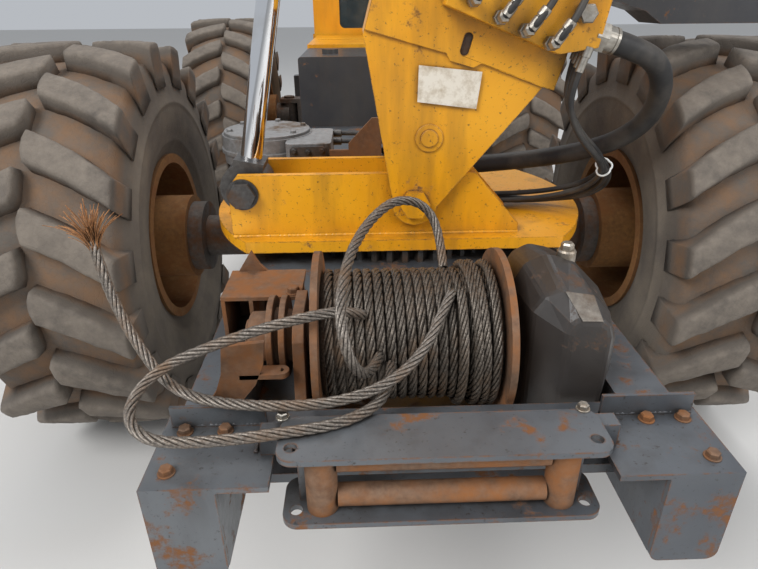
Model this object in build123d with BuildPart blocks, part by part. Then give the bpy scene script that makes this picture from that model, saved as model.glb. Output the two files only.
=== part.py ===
"""Tree trimming machine: a four-wheel carrier with a slewing, telescopic saw boom.

Lengths are in millimetres. The machine's own axes are X to its right, Y forward and Z up,
with zero on the floor below the middle of the rear axle. The written pieces are moved by
BASE_SHIFT, which puts the bottom centre of the whole machine's box at the origin.
The boom lies in a plane across the machine and is raised to the left, as it is parked.
"""
from build123d import *
import os
from math import atan2, cos, degrees, pi, radians, sin, sqrt, tan

os.makedirs("parts", exist_ok=True)

# Driving sizes of the carrier
TYRE_RADIUS = 800
TYRE_WIDTH = 587
WHEELBASE = 2950
TRACK = 2400
FRAME_HALF_WIDTH = 530
FRAME_TOP = 950
REAR_END = -1640
FRONT_END = 4700
RUNNING_GAP = 5
SEAT_GAP = 0.3

# Tyre and rim
RIM_RADIUS = 330
RIM_WALL = 12
RIM_FLANGE_RADIUS = 356
RIM_HALF_WIDTH = 254
BEAD_HALF_WIDTH = 240
CARCASS_RADIUS = 737
LUG_COUNT = 19
LUG_PITCH = 360 / LUG_COUNT
LUG_ROOT_RADIUS = 690
LUG_TIP_OFFSET = 150
LUG_TIP_RADIUS = sqrt(TYRE_RADIUS**2 - LUG_TIP_OFFSET**2)
LUG_TIP_ANGLE = degrees(atan2(LUG_TIP_OFFSET, LUG_TIP_RADIUS))
STAND_ANGLE = 0.75 * LUG_PITCH - LUG_TIP_ANGLE
RIM_DISC_OFFSET = 40
RIM_DISC_THICK = 20
WHEEL_BOLT_CIRCLE = 220
WHEEL_BOLT_COUNT = 12
WHEEL_BOLT_RADIUS = 14
HUB_RADIUS = 178
HUB_INNER_OFFSET = -330
HUB_CAP_RADIUS = 130
HUB_CAP_OFFSET = 175

# Axles and steering
AXLE_Z = TYRE_RADIUS * cos(radians(STAND_ANGLE))
AXLE_TUBE_RADIUS = 88
AXLE_PAD_HALF = 90
BANJO_RADIUS = 190
BANJO_WIDTH = 300
BANJO_DROP = 85
AXLE_BRACKET = 60
SPINDLE_RADIUS = 150
SPINDLE_LENGTH = 60
KINGPIN_X = 760
KINGPIN_RADIUS = 32
YOKE_HALF_HEIGHT = 150
YOKE_PLATE = 34
YOKE_WIDTH = 150
KNUCKLE_HALF_HEIGHT = YOKE_HALF_HEIGHT - YOKE_PLATE - SEAT_GAP

# Frame
RAIL_WIDTH = 120
RAIL_DEPTH = 200
RAIL_DEEP = 350
RAIL_NOTCH = 108
TOP_PLATE = 25
RING_PLATE_REAR = -720
RING_PLATE_FRONT = 450

# Slewing ring and turret
SLEW_Y = -250
RING_PITCH_RADIUS = 410
RING_MODULE = 16
RING_TEETH = 52
RING_HEIGHT = 42
RING_BORE = 338
RACE_RADIUS = 330
TURRET_BOTTOM = 1000
TURRET_PLATE = 38
TURRET_RADIUS = 675
TURRET_HALF_DEPTH = 440
BOOM_Y = -520
EAR_THICK = 25
EAR_GAP = 180
EAR_TOP = 1240

# Boom leg: the V-shaped root and the box above it
PIVOT_X = 30
PIVOT_Z = 1150
PIVOT_RADIUS = 45
PIVOT_NUT_FLATS = 84
NUT_THICK = 22
LEG_LEAN = 15.7
LEG_PLATE = 22
LEG_SEAM = 434
LEG_FRONT = 283
LEG_BACK = -260
LEG_BOSS_RADIUS = 72
ELBOW_HEIGHT = 1900
BOOM_ANGLE = 40

# Boom sections
OUTER_HEIGHT = 360
OUTER_WALL = 12
OUTER_TAIL = 260
OUTER_REACH = 3700
INNER_WIDTH = 236
INNER_HEIGHT = 308
INNER_WALL = 10
INNER_START = 500
INNER_REACH = 4350
TIP_SIZE = 180
TIP_WALL = 10
TIP_START = 1500
TIP_REACH = 5200
COLLAR_LENGTH = 120
PAD_GAP = 0.5

# Lift cylinder
CYLINDER_PIN_X = -515
CYLINDER_PIN_Z = 1180
CYLINDER_PIN_RADIUS = 30
CYLINDER_LENGTH = 1450
CYLINDER_LEAN = 11.8
ROD_RADIUS = 35
CYLINDER_NUT_FLATS = 76
STUB_RADIUS = 50
WASHER_THICK = 6
ROD_EYE_RADIUS = 82
ROD_EYE_WIDTH = 120
ROD_END = 950
BARREL_RADIUS = 62
BARREL_LENGTH = 790
BARREL_WALL = 12
KNEE_PLATE = 20
KNEE_GAP = 140

# Saw head
SAW_RADIUS = 305
SAW_THICK = 5
SAW_TEETH = 36
SAW_TOOTH = 14
SAW_CENTRE = 470
HEAD_FLANGE_RADIUS = 95
HEAD_FLANGE = 40

# Winch and fairlead
WINCH_Y = -1250
WINCH_Z = 1030
DRUM_LEFT = -235
DRUM_RIGHT = 160
DRUM_RADIUS = 75
FLANGE_RADIUS = 195
FLANGE_THICK = 15
ROPE_DIAMETER = 22
ROPE_PACK_RADIUS = 148
WINCH_BASE = 815
FAIRLEAD_HALF = 300
FAIRLEAD_TOP = 1022
FAIRLEAD_BOTTOM = 858
FAIRLEAD_PLATE = 12
FAIRLEAD_Y = -1595
ROLLER_RADIUS = 22
SIDE_ROLLER_RADIUS = 30
SHACKLE_X = 275
SHACKLE_RADIUS = 12

# Body
TANK_REAR = 1580
TANK_FRONT = 2340
TANK_TOP = 1400
HOOD_REAR = 2400
HOOD_FRONT = 3690
HOOD_TOP = 1420
HOOD_WALL = 6
CAB_REAR = 3720
CAB_FRONT = 4900
CAB_HALF_WIDTH = 560
CAB_WALL = 40
CAB_FLOOR = 50
CAB_EAVE = 2500
CAB_ROOF = 60
GLASS_THICK = 6
BUMPER_FRONT = 4960
BUMPER_BOTTOM = 640
BUMPER_TOP = 930
TOW_REACH = 110
TOW_PLATE = 40
TOW_HOLE = 26
DOOR_REAR = 3900
DOOR_FRONT = 4760
DOOR_GAP = 6
LAMP_RADIUS = 44
HINGE_RADIUS = 14
HINGE_LENGTH = 60

all_parts = []


def keep(part, name):
    """Label a finished piece and keep it for writing."""
    part.label = name
    all_parts.append(part)


# Planes that carry the leaning boom: local x towards the boom's side, local y up the leg
lean = radians(LEG_LEAN)
boom_rise = radians(BOOM_ANGLE)
LEG_PLANE = Plane(origin=(PIVOT_X, BOOM_Y, PIVOT_Z), x_dir=(-cos(lean), 0, sin(lean)), z_dir=(0, 1, 0))
elbow_x = PIVOT_X + ELBOW_HEIGHT * sin(lean)
elbow_z = PIVOT_Z + ELBOW_HEIGHT * cos(lean)
boom_dir = Vector(-cos(boom_rise), 0, sin(boom_rise))
BOOM_PLANE = Plane(origin=(elbow_x, BOOM_Y, elbow_z), x_dir=boom_dir, z_dir=(0, 1, 0))
rod_lean = radians(CYLINDER_LEAN)
rod_dir = Vector(sin(rod_lean), 0, cos(rod_lean))
ROD_PLANE = Plane(origin=(CYLINDER_PIN_X, BOOM_Y, CYLINDER_PIN_Z), x_dir=rod_dir, z_dir=(0, 1, 0))
LEG_WIDTH = EAR_GAP + 2 * EAR_THICK + 2 * 6 + 2 * LEG_PLATE


def boom_section(distance):
    """Plane square to the boom, this far beyond the elbow, with local x across the machine."""
    origin = Vector(elbow_x, BOOM_Y, elbow_z) + boom_dir * distance
    return Plane(origin=origin, x_dir=(0, 1, 0), z_dir=boom_dir)


# Tyre: carcass of straight bands, with two rows of bent lugs
half_section = [
    # offset from the middle, radius
    (BEAD_HALF_WIDTH, RIM_RADIUS),
    (BEAD_HALF_WIDTH, RIM_FLANGE_RADIUS),
    (RIM_HALF_WIDTH + 8, 384),
    (TYRE_WIDTH / 2, 560),
    (TYRE_WIDTH / 2 - 6, 645),
    (262, 706),
    (190, CARCASS_RADIUS - 6),
    (0, CARCASS_RADIUS),
]
lug_outline = [
    # offset from the middle, distance round the tread
    (-8, 150),
    (110, 45),
    (284, -40),
    (284, -LUG_TIP_OFFSET),
    (100, -62),
    (-8, 36),
]
first_lug = 180 - LUG_PITCH / 4

with BuildPart() as lug:
    with BuildSketch(Plane.XY.offset(LUG_ROOT_RADIUS)):
        with BuildLine():
            Polyline(*lug_outline, close=True)
        make_face()
    extrude(amount=LUG_TIP_RADIUS - LUG_ROOT_RADIUS)

with BuildPart() as tyre:
    with BuildSketch(Plane.XY):
        with BuildLine():
            left_half = [(-x, r) for x, r in half_section[-2::-1]]
            Polyline(*half_section, *left_half, close=True)
        make_face()
    revolve(axis=Axis.X)
    right_lugs = [lug.part.rotate(Axis.X, first_lug + i * LUG_PITCH) for i in range(LUG_COUNT)]
    mirror_lug = lug.part.mirror(Plane.YZ)
    left_lugs = [mirror_lug.rotate(Axis.X, first_lug + (i + 0.5) * LUG_PITCH) for i in range(LUG_COUNT)]
    add(right_lugs)
    add(left_lugs)

# Rim: barrel with flanges, disc and planetary hub, open side towards the machine
with BuildPart() as rim:
    with BuildSketch(Plane.XY):
        with BuildLine():
            Polyline(
                (-RIM_HALF_WIDTH, RIM_RADIUS - RIM_WALL),
                (RIM_HALF_WIDTH, RIM_RADIUS - RIM_WALL),
                (RIM_HALF_WIDTH, RIM_FLANGE_RADIUS),
                (BEAD_HALF_WIDTH, RIM_FLANGE_RADIUS),
                (BEAD_HALF_WIDTH, RIM_RADIUS),
                (-BEAD_HALF_WIDTH, RIM_RADIUS),
                (-BEAD_HALF_WIDTH, RIM_FLANGE_RADIUS),
                (-RIM_HALF_WIDTH, RIM_FLANGE_RADIUS),
                close=True,
            )
        make_face()
        disc_end = RIM_DISC_OFFSET + RIM_DISC_THICK
        with BuildLine():
            Polyline(
                (HUB_INNER_OFFSET, 0),
                (HUB_CAP_OFFSET, 0),
                (HUB_CAP_OFFSET, HUB_CAP_RADIUS - 20),
                (HUB_CAP_OFFSET - 20, HUB_CAP_RADIUS),
                (disc_end, HUB_CAP_RADIUS),
                (disc_end, RIM_RADIUS - RIM_WALL),
                (RIM_DISC_OFFSET, RIM_RADIUS - RIM_WALL),
                (RIM_DISC_OFFSET, HUB_RADIUS + 40),
                (RIM_DISC_OFFSET - 40, HUB_RADIUS),
                (HUB_INNER_OFFSET, HUB_RADIUS),
                close=True,
            )
        make_face()
    revolve(axis=Axis.X)
    with BuildSketch(Plane.YZ.offset(disc_end)):
        with PolarLocations(WHEEL_BOLT_CIRCLE, WHEEL_BOLT_COUNT):
            RegularPolygon(WHEEL_BOLT_RADIUS, 6)
    extrude(amount=16)

wheel_places = [
    # name, side, distance forward
    ("rear_left", -1, 0),
    ("rear_right", 1, 0),
    ("front_left", -1, WHEELBASE),
    ("front_right", 1, WHEELBASE),
]
for name, side, y in wheel_places:
    place = Location((side * TRACK / 2, y, AXLE_Z))
    for form, kind in ((tyre.part, "tyre"), (rim.part, "rim")):
        turned = form if side > 0 else form.mirror(Plane.YZ)
        keep(turned.moved(place), f"{kind}_{name}")

# Frame: two box rails, notched over the axles, with cross members and the ring plate
rail_profile = [
    # forward, up
    (REAR_END, FRAME_TOP - RAIL_DEPTH),
    (REAR_END, FRAME_TOP),
    (FRONT_END, FRAME_TOP),
    (FRONT_END, FRAME_TOP - RAIL_DEPTH),
    (WHEELBASE + 700, FRAME_TOP - RAIL_DEPTH),
    (WHEELBASE + 500, FRAME_TOP - RAIL_DEEP),
    (-560, FRAME_TOP - RAIL_DEEP),
    (-760, FRAME_TOP - RAIL_DEPTH),
]
cross_members = [
    # forward from, forward to, up from, up to
    (RING_PLATE_REAR, RING_PLATE_FRONT, FRAME_TOP - TOP_PLATE, FRAME_TOP),
    (WINCH_Y - 220, WINCH_Y + 220, WINCH_BASE - 25, WINCH_BASE),
    (WINCH_Y + 220, WINCH_Y + 245, WINCH_BASE - 25, FRAME_TOP - 20),
    (RING_PLATE_REAR, RING_PLATE_REAR + 25, FRAME_TOP - RAIL_DEPTH, FRAME_TOP - TOP_PLATE),
    (700, 820, FRAME_TOP - RAIL_DEPTH, FRAME_TOP - 20),
    (1700, 1820, FRAME_TOP - RAIL_DEPTH, FRAME_TOP - 20),
    (3540, 3660, FRAME_TOP - RAIL_DEPTH, FRAME_TOP - 20),
    (FRONT_END - 100, FRONT_END, FRAME_TOP - RAIL_DEPTH, FRAME_TOP - 20),
]
with BuildPart() as frame_rails:
    with BuildSketch(Plane.YZ.offset(FRAME_HALF_WIDTH - RAIL_WIDTH)):
        with BuildLine():
            Polyline(*rail_profile, close=True)
        make_face()
        with Locations((0, AXLE_Z), (WHEELBASE, AXLE_Z)):
            Circle(RAIL_NOTCH, mode=Mode.SUBTRACT)
        with Locations((0, AXLE_Z - RAIL_DEEP / 2), (WHEELBASE, AXLE_Z - RAIL_DEEP / 2)):
            Rectangle(2 * RAIL_NOTCH, RAIL_DEEP, mode=Mode.SUBTRACT)
    extrude(amount=RAIL_WIDTH)
    mirror(about=Plane.YZ)
    for y0, y1, z0, z1 in cross_members:
        with Locations((0, (y0 + y1) / 2, (z0 + z1) / 2)):
            Box(2 * (FRAME_HALF_WIDTH - RAIL_WIDTH), y1 - y0, z1 - z0)
keep(frame_rails.part, "frame_rails")

# Rear deck: plates over the rail ends, upright angle and rounded end plates
DECK_PLATE = 12
DECK_FRONT = -1440
DECK_HALF_WIDTH = 545
END_PLATE_WIDTH = 135
END_PLATE_DROP = 215
with BuildPart() as rear_deck:
    with BuildSketch(Plane.XY.offset(FRAME_TOP)):
        with Locations((0, (REAR_END - DECK_PLATE + DECK_FRONT) / 2)):
            Rectangle(2 * DECK_HALF_WIDTH, DECK_FRONT - REAR_END + DECK_PLATE)
        with Locations((0, REAR_END)):
            Rectangle(2 * FAIRLEAD_HALF + 30, 2 * 145, mode=Mode.SUBTRACT)
    extrude(amount=DECK_PLATE)
    with BuildSketch(Plane.XZ.offset(-REAR_END)):
        for side in (-1, 1):
            with Locations((side * (DECK_HALF_WIDTH - END_PLATE_WIDTH / 2), FRAME_TOP - END_PLATE_DROP / 2)):
                RectangleRounded(END_PLATE_WIDTH, END_PLATE_DROP, 22)
            with Locations((side * (DECK_HALF_WIDTH - END_PLATE_WIDTH / 2), FRAME_TOP - 20)):
                Rectangle(END_PLATE_WIDTH, 40)
    extrude(amount=DECK_PLATE)
    for side in (-1, 1):
        with Locations((side * 435, DECK_FRONT - 40, FRAME_TOP + DECK_PLATE + 24)):
            Box(190, 8, 48)
keep(rear_deck.part, "rear_deck")

# Centre deck between the turret and the tank
with BuildPart() as centre_deck:
    with BuildSketch(Plane.XY.offset(FRAME_TOP)):
        with Locations((0, (RING_PLATE_FRONT + TANK_REAR) / 2)):
            Rectangle(2 * FRAME_HALF_WIDTH, TANK_REAR - RING_PLATE_FRONT)
        with Locations((0, SLEW_Y)):
            Circle(TURRET_RADIUS + 60, mode=Mode.SUBTRACT)
    extrude(amount=8)
keep(centre_deck.part, "centre_deck")

# Rear axle: banjo, tubes and spindle flanges that reach the hubs
hub_face = TRACK / 2 + HUB_INNER_OFFSET
with BuildPart() as rear_axle:
    with BuildSketch(Plane.YZ):
        with Locations((0, AXLE_Z)):
            Circle(AXLE_TUBE_RADIUS)
    extrude(amount=hub_face - SPINDLE_LENGTH, both=True)
    with BuildSketch(Plane.YZ):
        with Locations((0, AXLE_Z - BANJO_DROP)):
            Circle(BANJO_RADIUS)
    extrude(amount=BANJO_WIDTH / 2, both=True, taper=18)
    for side in (-1, 1):
        with BuildSketch(Plane.YZ.offset(side * (hub_face - SEAT_GAP))):
            with Locations((0, AXLE_Z)):
                Circle(SPINDLE_RADIUS)
        extrude(amount=-side * SPINDLE_LENGTH)
        pad_height = FRAME_TOP - TOP_PLATE - AXLE_Z
        with Locations((side * (FRAME_HALF_WIDTH - RAIL_WIDTH - 40), 0, AXLE_Z + pad_height / 2)):
            Box(80, 2 * AXLE_PAD_HALF, pad_height)
keep(rear_axle.part, "rear_axle")

# Front axle: beam with forked ends for the kingpins
with BuildPart() as front_axle:
    with BuildSketch(Plane.YZ):
        with Locations((WHEELBASE, AXLE_Z)):
            Circle(AXLE_TUBE_RADIUS)
    extrude(amount=KINGPIN_X - YOKE_WIDTH / 2 - 40, both=True)
    with BuildSketch(Plane.YZ):
        with Locations((WHEELBASE, AXLE_Z - BANJO_DROP)):
            Circle(BANJO_RADIUS)
    extrude(amount=BANJO_WIDTH / 2, both=True, taper=18)
    for side in (-1, 1):
        yoke_x = KINGPIN_X - YOKE_WIDTH / 2
        with Locations((side * (yoke_x - 25), WHEELBASE, AXLE_Z)):
            Box(50, YOKE_WIDTH, 2 * YOKE_HALF_HEIGHT)
        for up in (-1, 1):
            with Locations((side * KINGPIN_X, WHEELBASE, AXLE_Z + up * (YOKE_HALF_HEIGHT - YOKE_PLATE / 2))):
                Box(YOKE_WIDTH, YOKE_WIDTH, YOKE_PLATE)
    bracket_height = FRAME_TOP - 20 - AXLE_Z - AXLE_BRACKET
    with Locations((0, WHEELBASE, AXLE_Z + AXLE_BRACKET + bracket_height / 2)):
        Box(2 * (FRAME_HALF_WIDTH - RAIL_WIDTH), 160, bracket_height)
    for side in (-1, 1):
        with Locations((side * KINGPIN_X, WHEELBASE, AXLE_Z)):
            for up in (-1, 1):
                with Locations((0, 0, up * (YOKE_HALF_HEIGHT + 8))):
                    Cylinder(KINGPIN_RADIUS + 14, 16)
keep(front_axle.part, "front_axle")

# Steering knuckles: blocks in the forks with a spindle flange for the hub
knuckles = [("knuckle_left", -1), ("knuckle_right", 1)]
for name, side in knuckles:
    with BuildPart() as knuckle:
        with Locations((side * KINGPIN_X, WHEELBASE, AXLE_Z)):
            Cylinder(YOKE_WIDTH / 2 - 8, 2 * KNUCKLE_HALF_HEIGHT)
        with BuildSketch(Plane.YZ.offset(side * (hub_face - SEAT_GAP))):
            with Locations((WHEELBASE, AXLE_Z)):
                Circle(KNUCKLE_HALF_HEIGHT - 8)
        extrude(amount=-side * (hub_face - SEAT_GAP - KINGPIN_X))
        with Locations((side * (KINGPIN_X - 10), WHEELBASE - 130, AXLE_Z - 70)):
            Box(50, 220, 30)
    keep(knuckle.part, name)

# Slewing ring gear on the frame, with outward teeth
tooth_height = 2.0 * RING_MODULE
tooth_pitch = 2 * pi * RING_PITCH_RADIUS / RING_TEETH
root_radius = RING_PITCH_RADIUS - tooth_height / 2
tip_radius = RING_PITCH_RADIUS + tooth_height / 2
with BuildPart() as ring_gear:
    with BuildSketch(Plane.XY.offset(FRAME_TOP)):
        with Locations((0, SLEW_Y)):
            Circle(root_radius + 2)
            with PolarLocations(root_radius, RING_TEETH):
                Polygon(
                    (0, -tooth_pitch * 0.36),
                    (tooth_height, -tooth_pitch * 0.17),
                    (tooth_height, tooth_pitch * 0.17),
                    (0, tooth_pitch * 0.36),
                    align=None,
                )
            Circle(RING_BORE, mode=Mode.SUBTRACT)
    extrude(amount=RING_HEIGHT)
keep(ring_gear.part, "ring_gear")

# Turret: clipped round plate, bearing race below it, two ears and their ribs
ear_outline = [
    # across, up
    (-560, TURRET_BOTTOM + TURRET_PLATE),
    (-560, 1200),
    (-528, EAR_TOP),
    (222, EAR_TOP),
    (376, 1066),
    (376, TURRET_BOTTOM + TURRET_PLATE),
]
ear_offset = EAR_GAP / 2 + EAR_THICK / 2
with BuildPart() as turret_base:
    with BuildSketch(Plane.XY.offset(TURRET_BOTTOM)):
        with Locations((0, SLEW_Y)):
            Circle(TURRET_RADIUS)
            Rectangle(2 * TURRET_RADIUS, 2 * TURRET_HALF_DEPTH, mode=Mode.INTERSECT)
    extrude(amount=TURRET_PLATE)
    with BuildSketch(Plane.XY.offset(FRAME_TOP + SEAT_GAP)):
        with Locations((0, SLEW_Y)):
            Circle(RACE_RADIUS)
            Circle(RACE_RADIUS - 60, mode=Mode.SUBTRACT)
    extrude(amount=TURRET_BOTTOM - FRAME_TOP - SEAT_GAP)
    for side in (-1, 1):
        with BuildSketch(Plane.XZ.offset(-(BOOM_Y + side * ear_offset) - EAR_THICK / 2)):
            with BuildLine():
                Polyline(*ear_outline, close=True)
            make_face()
            with Locations((PIVOT_X, PIVOT_Z)):
                Circle(PIVOT_RADIUS + SEAT_GAP, mode=Mode.SUBTRACT)
            with Locations((CYLINDER_PIN_X, CYLINDER_PIN_Z)):
                Circle(CYLINDER_PIN_RADIUS + SEAT_GAP, mode=Mode.SUBTRACT)
        extrude(amount=EAR_THICK)
    with Locations((-180, BOOM_Y, TURRET_BOTTOM + TURRET_PLATE + 45)):
        Box(30, EAR_GAP, 90)
    with Locations((300, BOOM_Y, TURRET_BOTTOM + TURRET_PLATE + 20)):
        Box(30, EAR_GAP, 40)
keep(turret_base.part, "turret_base")

# Pins held by the ears: the pivot with its nut, and two stubs that clasp the rod's eye
with BuildPart() as turret_pins:
    pivot_half = LEG_WIDTH / 2 + 2
    with BuildSketch(Plane.XZ.offset(-(BOOM_Y - pivot_half))):
        with Locations((PIVOT_X, PIVOT_Z)):
            Circle(PIVOT_RADIUS)
    extrude(amount=-2 * pivot_half)
    with BuildSketch(Plane.XZ.offset(-(BOOM_Y - pivot_half))):
        with Locations((PIVOT_X, PIVOT_Z)):
            RegularPolygon(PIVOT_NUT_FLATS / 2, 6, major_radius=False)
    extrude(amount=NUT_THICK)
    stub_start = ROD_EYE_WIDTH / 2 + SEAT_GAP
    ear_inside = EAR_GAP / 2
    ear_outside = ear_inside + EAR_THICK
    for side in (-1, 1):
        with BuildSketch(Plane.XZ.offset(-(BOOM_Y + side * stub_start))):
            with Locations((CYLINDER_PIN_X, CYLINDER_PIN_Z)):
                Circle(STUB_RADIUS)
        extrude(amount=-side * (ear_inside - stub_start))
        with BuildSketch(Plane.XZ.offset(-(BOOM_Y + side * ear_inside))):
            with Locations((CYLINDER_PIN_X, CYLINDER_PIN_Z)):
                Circle(CYLINDER_PIN_RADIUS)
        extrude(amount=-side * EAR_THICK)
        with BuildSketch(Plane.XZ.offset(-(BOOM_Y + side * ear_outside))):
            with Locations((CYLINDER_PIN_X, CYLINDER_PIN_Z)):
                Circle(STUB_RADIUS)
        extrude(amount=-side * WASHER_THICK)
        with BuildSketch(Plane.XZ.offset(-(BOOM_Y + side * (ear_outside + WASHER_THICK)))):
            with Locations((CYLINDER_PIN_X, CYLINDER_PIN_Z)):
                RegularPolygon(CYLINDER_NUT_FLATS / 2, 6, major_radius=False)
        extrude(amount=-side * NUT_THICK)
keep(turret_pins.part, "turret_pins")

# Swing drive on the turret: round gear case with lid, side box and motor
DRIVE_X = -492
DRIVE_Y = -85
DRIVE_TOP = 1262
with BuildPart() as swing_drive:
    with BuildSketch(Plane.XY.offset(TURRET_BOTTOM + TURRET_PLATE)):
        with Locations((DRIVE_X, DRIVE_Y)):
            Circle(128)
    with BuildSketch(Plane.XY.offset(TURRET_BOTTOM + TURRET_PLATE + 100)):
        with Locations((DRIVE_X, DRIVE_Y)):
            Circle(165)
    loft()
    with Locations((DRIVE_X, DRIVE_Y, DRIVE_TOP - 62)):
        Cylinder(165, 124)
    with Locations((DRIVE_X, DRIVE_Y, DRIVE_TOP - 95)):
        Cylinder(172, 14)
    with Locations((DRIVE_X, DRIVE_Y, DRIVE_TOP + 6)):
        Cylinder(160, 12)
    with Locations((DRIVE_X + 165, DRIVE_Y - 95, DRIVE_TOP - 75)):
        Box(170, 150, 150)
    with Locations((DRIVE_X + 165, DRIVE_Y - 95 - 75 - 14, DRIVE_TOP - 80)):
        Box(128, 28, 128)
    with BuildSketch(Plane.XY.offset(DRIVE_TOP + 12)):
        with Locations((DRIVE_X, DRIVE_Y)):
            with PolarLocations(148, 8):
                Circle(9)
    extrude(amount=8)
keep(swing_drive.part, "swing_drive")

# Boom leg: V-shaped side plates below, closed box above the seam, knee plates for the cylinder

def boom_underside(x):
    """Height up the leg of the boom's underside, at this distance from the leg's middle line."""
    rise = boom_rise - lean
    return ELBOW_HEIGHT - OUTER_HEIGHT / 2 / cos(rise) + x * tan(rise)


side_outline = [
    # towards the boom, up the leg
    (46, -52),
    (90, 30),
    (LEG_FRONT, LEG_SEAM),
    (LEG_FRONT, boom_underside(LEG_FRONT)),
    (LEG_BACK, boom_underside(LEG_BACK)),
    (LEG_BACK, LEG_SEAM),
    (-72, 10),
    (-40, -56),
]
leg_skins = [
    # towards the boom from and to, up the leg from and to
    (LEG_FRONT - LEG_PLATE, LEG_FRONT, LEG_SEAM, boom_underside(LEG_FRONT - LEG_PLATE)),
    (LEG_BACK, LEG_BACK + LEG_PLATE, LEG_SEAM, boom_underside(LEG_BACK)),
    (LEG_BACK + LEG_PLATE, LEG_FRONT - LEG_PLATE, LEG_SEAM, LEG_SEAM + LEG_PLATE),
]
barrel_u = CYLINDER_PIN_X + CYLINDER_LENGTH * sin(rod_lean) - PIVOT_X
barrel_w = CYLINDER_PIN_Z + CYLINDER_LENGTH * cos(rod_lean) - PIVOT_Z
KNEE_X = -barrel_u * cos(lean) + barrel_w * sin(lean)
KNEE_Y = barrel_u * sin(lean) + barrel_w * cos(lean)
knee_outline = [
    (LEG_FRONT, KNEE_Y - 300),
    (KNEE_X - 40, KNEE_Y - 78),
    (KNEE_X + 60, KNEE_Y - 60),
    (KNEE_X + 80, KNEE_Y + 40),
    (KNEE_X + 140, boom_underside(KNEE_X + 140)),
    (LEG_FRONT, boom_underside(LEG_FRONT)),
]
with BuildPart() as boom_leg:
    for side in (-1, 1):
        with BuildSketch(LEG_PLANE.offset(side * (LEG_WIDTH / 2 - LEG_PLATE / 2) - LEG_PLATE / 2)):
            with BuildLine():
                Polyline(*side_outline, close=True)
            make_face()
            Circle(LEG_BOSS_RADIUS)
            Circle(PIVOT_RADIUS + SEAT_GAP, mode=Mode.SUBTRACT)
            with Locations((18, 205)):
                Circle(30, mode=Mode.SUBTRACT)
        extrude(amount=LEG_PLATE)
        with BuildSketch(LEG_PLANE.offset(side * (KNEE_GAP + KNEE_PLATE) / 2 - KNEE_PLATE / 2)):
            with BuildLine():
                Polyline(*knee_outline, close=True)
            make_face()
        extrude(amount=KNEE_PLATE)
    for x0, x1, y0, y1 in leg_skins:
        with BuildSketch(LEG_PLANE.offset(-LEG_WIDTH / 2 + LEG_PLATE)):
            with Locations(((x0 + x1) / 2, (y0 + y1) / 2)):
                Rectangle(x1 - x0, y1 - y0)
        extrude(amount=LEG_WIDTH - 2 * LEG_PLATE)
    with BuildSketch(LEG_PLANE.offset(-KNEE_GAP / 2 - KNEE_PLATE - 14)):
        with Locations((KNEE_X, KNEE_Y)):
            Circle(CYLINDER_PIN_RADIUS)
    extrude(amount=KNEE_GAP + 2 * KNEE_PLATE + 28)
keep(boom_leg.part, "boom_leg")

# Boom sections: box tubes, each with a wear-pad collar at its mouth
tubes = [
    # name, start, end, width, height, wall, inner piece width, inner piece height
    ("boom_outer", -OUTER_TAIL, OUTER_REACH, LEG_WIDTH, OUTER_HEIGHT, OUTER_WALL, INNER_WIDTH, INNER_HEIGHT),
    ("boom_inner", INNER_START, INNER_REACH, INNER_WIDTH, INNER_HEIGHT, INNER_WALL, TIP_SIZE, TIP_SIZE),
]
for name, start, end, width, height, wall, pass_width, pass_height in tubes:
    with BuildPart() as tube:
        with BuildSketch(boom_section(start)):
            Rectangle(width, height)
            Rectangle(width - 2 * wall, height - 2 * wall, mode=Mode.SUBTRACT)
        extrude(amount=end - start)
        with BuildSketch(boom_section(end - COLLAR_LENGTH)):
            Rectangle(width + 24, height + 24)
            Rectangle(pass_width + 2 * PAD_GAP, pass_height + 2 * PAD_GAP, mode=Mode.SUBTRACT)
        extrude(amount=COLLAR_LENGTH)
    keep(tube.part, name)

# Tip boom: glass-fibre tube with the fixed end flange of the saw head
with BuildPart() as boom_tip:
    with BuildSketch(boom_section(TIP_START)):
        RectangleRounded(TIP_SIZE, TIP_SIZE, 24)
        RectangleRounded(TIP_SIZE - 2 * TIP_WALL, TIP_SIZE - 2 * TIP_WALL, 14, mode=Mode.SUBTRACT)
    extrude(amount=TIP_REACH - TIP_START)
    with BuildSketch(boom_section(TIP_REACH - 60)):
        RectangleRounded(TIP_SIZE + 24, TIP_SIZE + 24, 20)
    extrude(amount=60)
    with BuildSketch(boom_section(TIP_REACH)):
        Circle(HEAD_FLANGE_RADIUS)
    extrude(amount=HEAD_FLANGE)
keep(boom_tip.part, "boom_tip")

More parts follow.
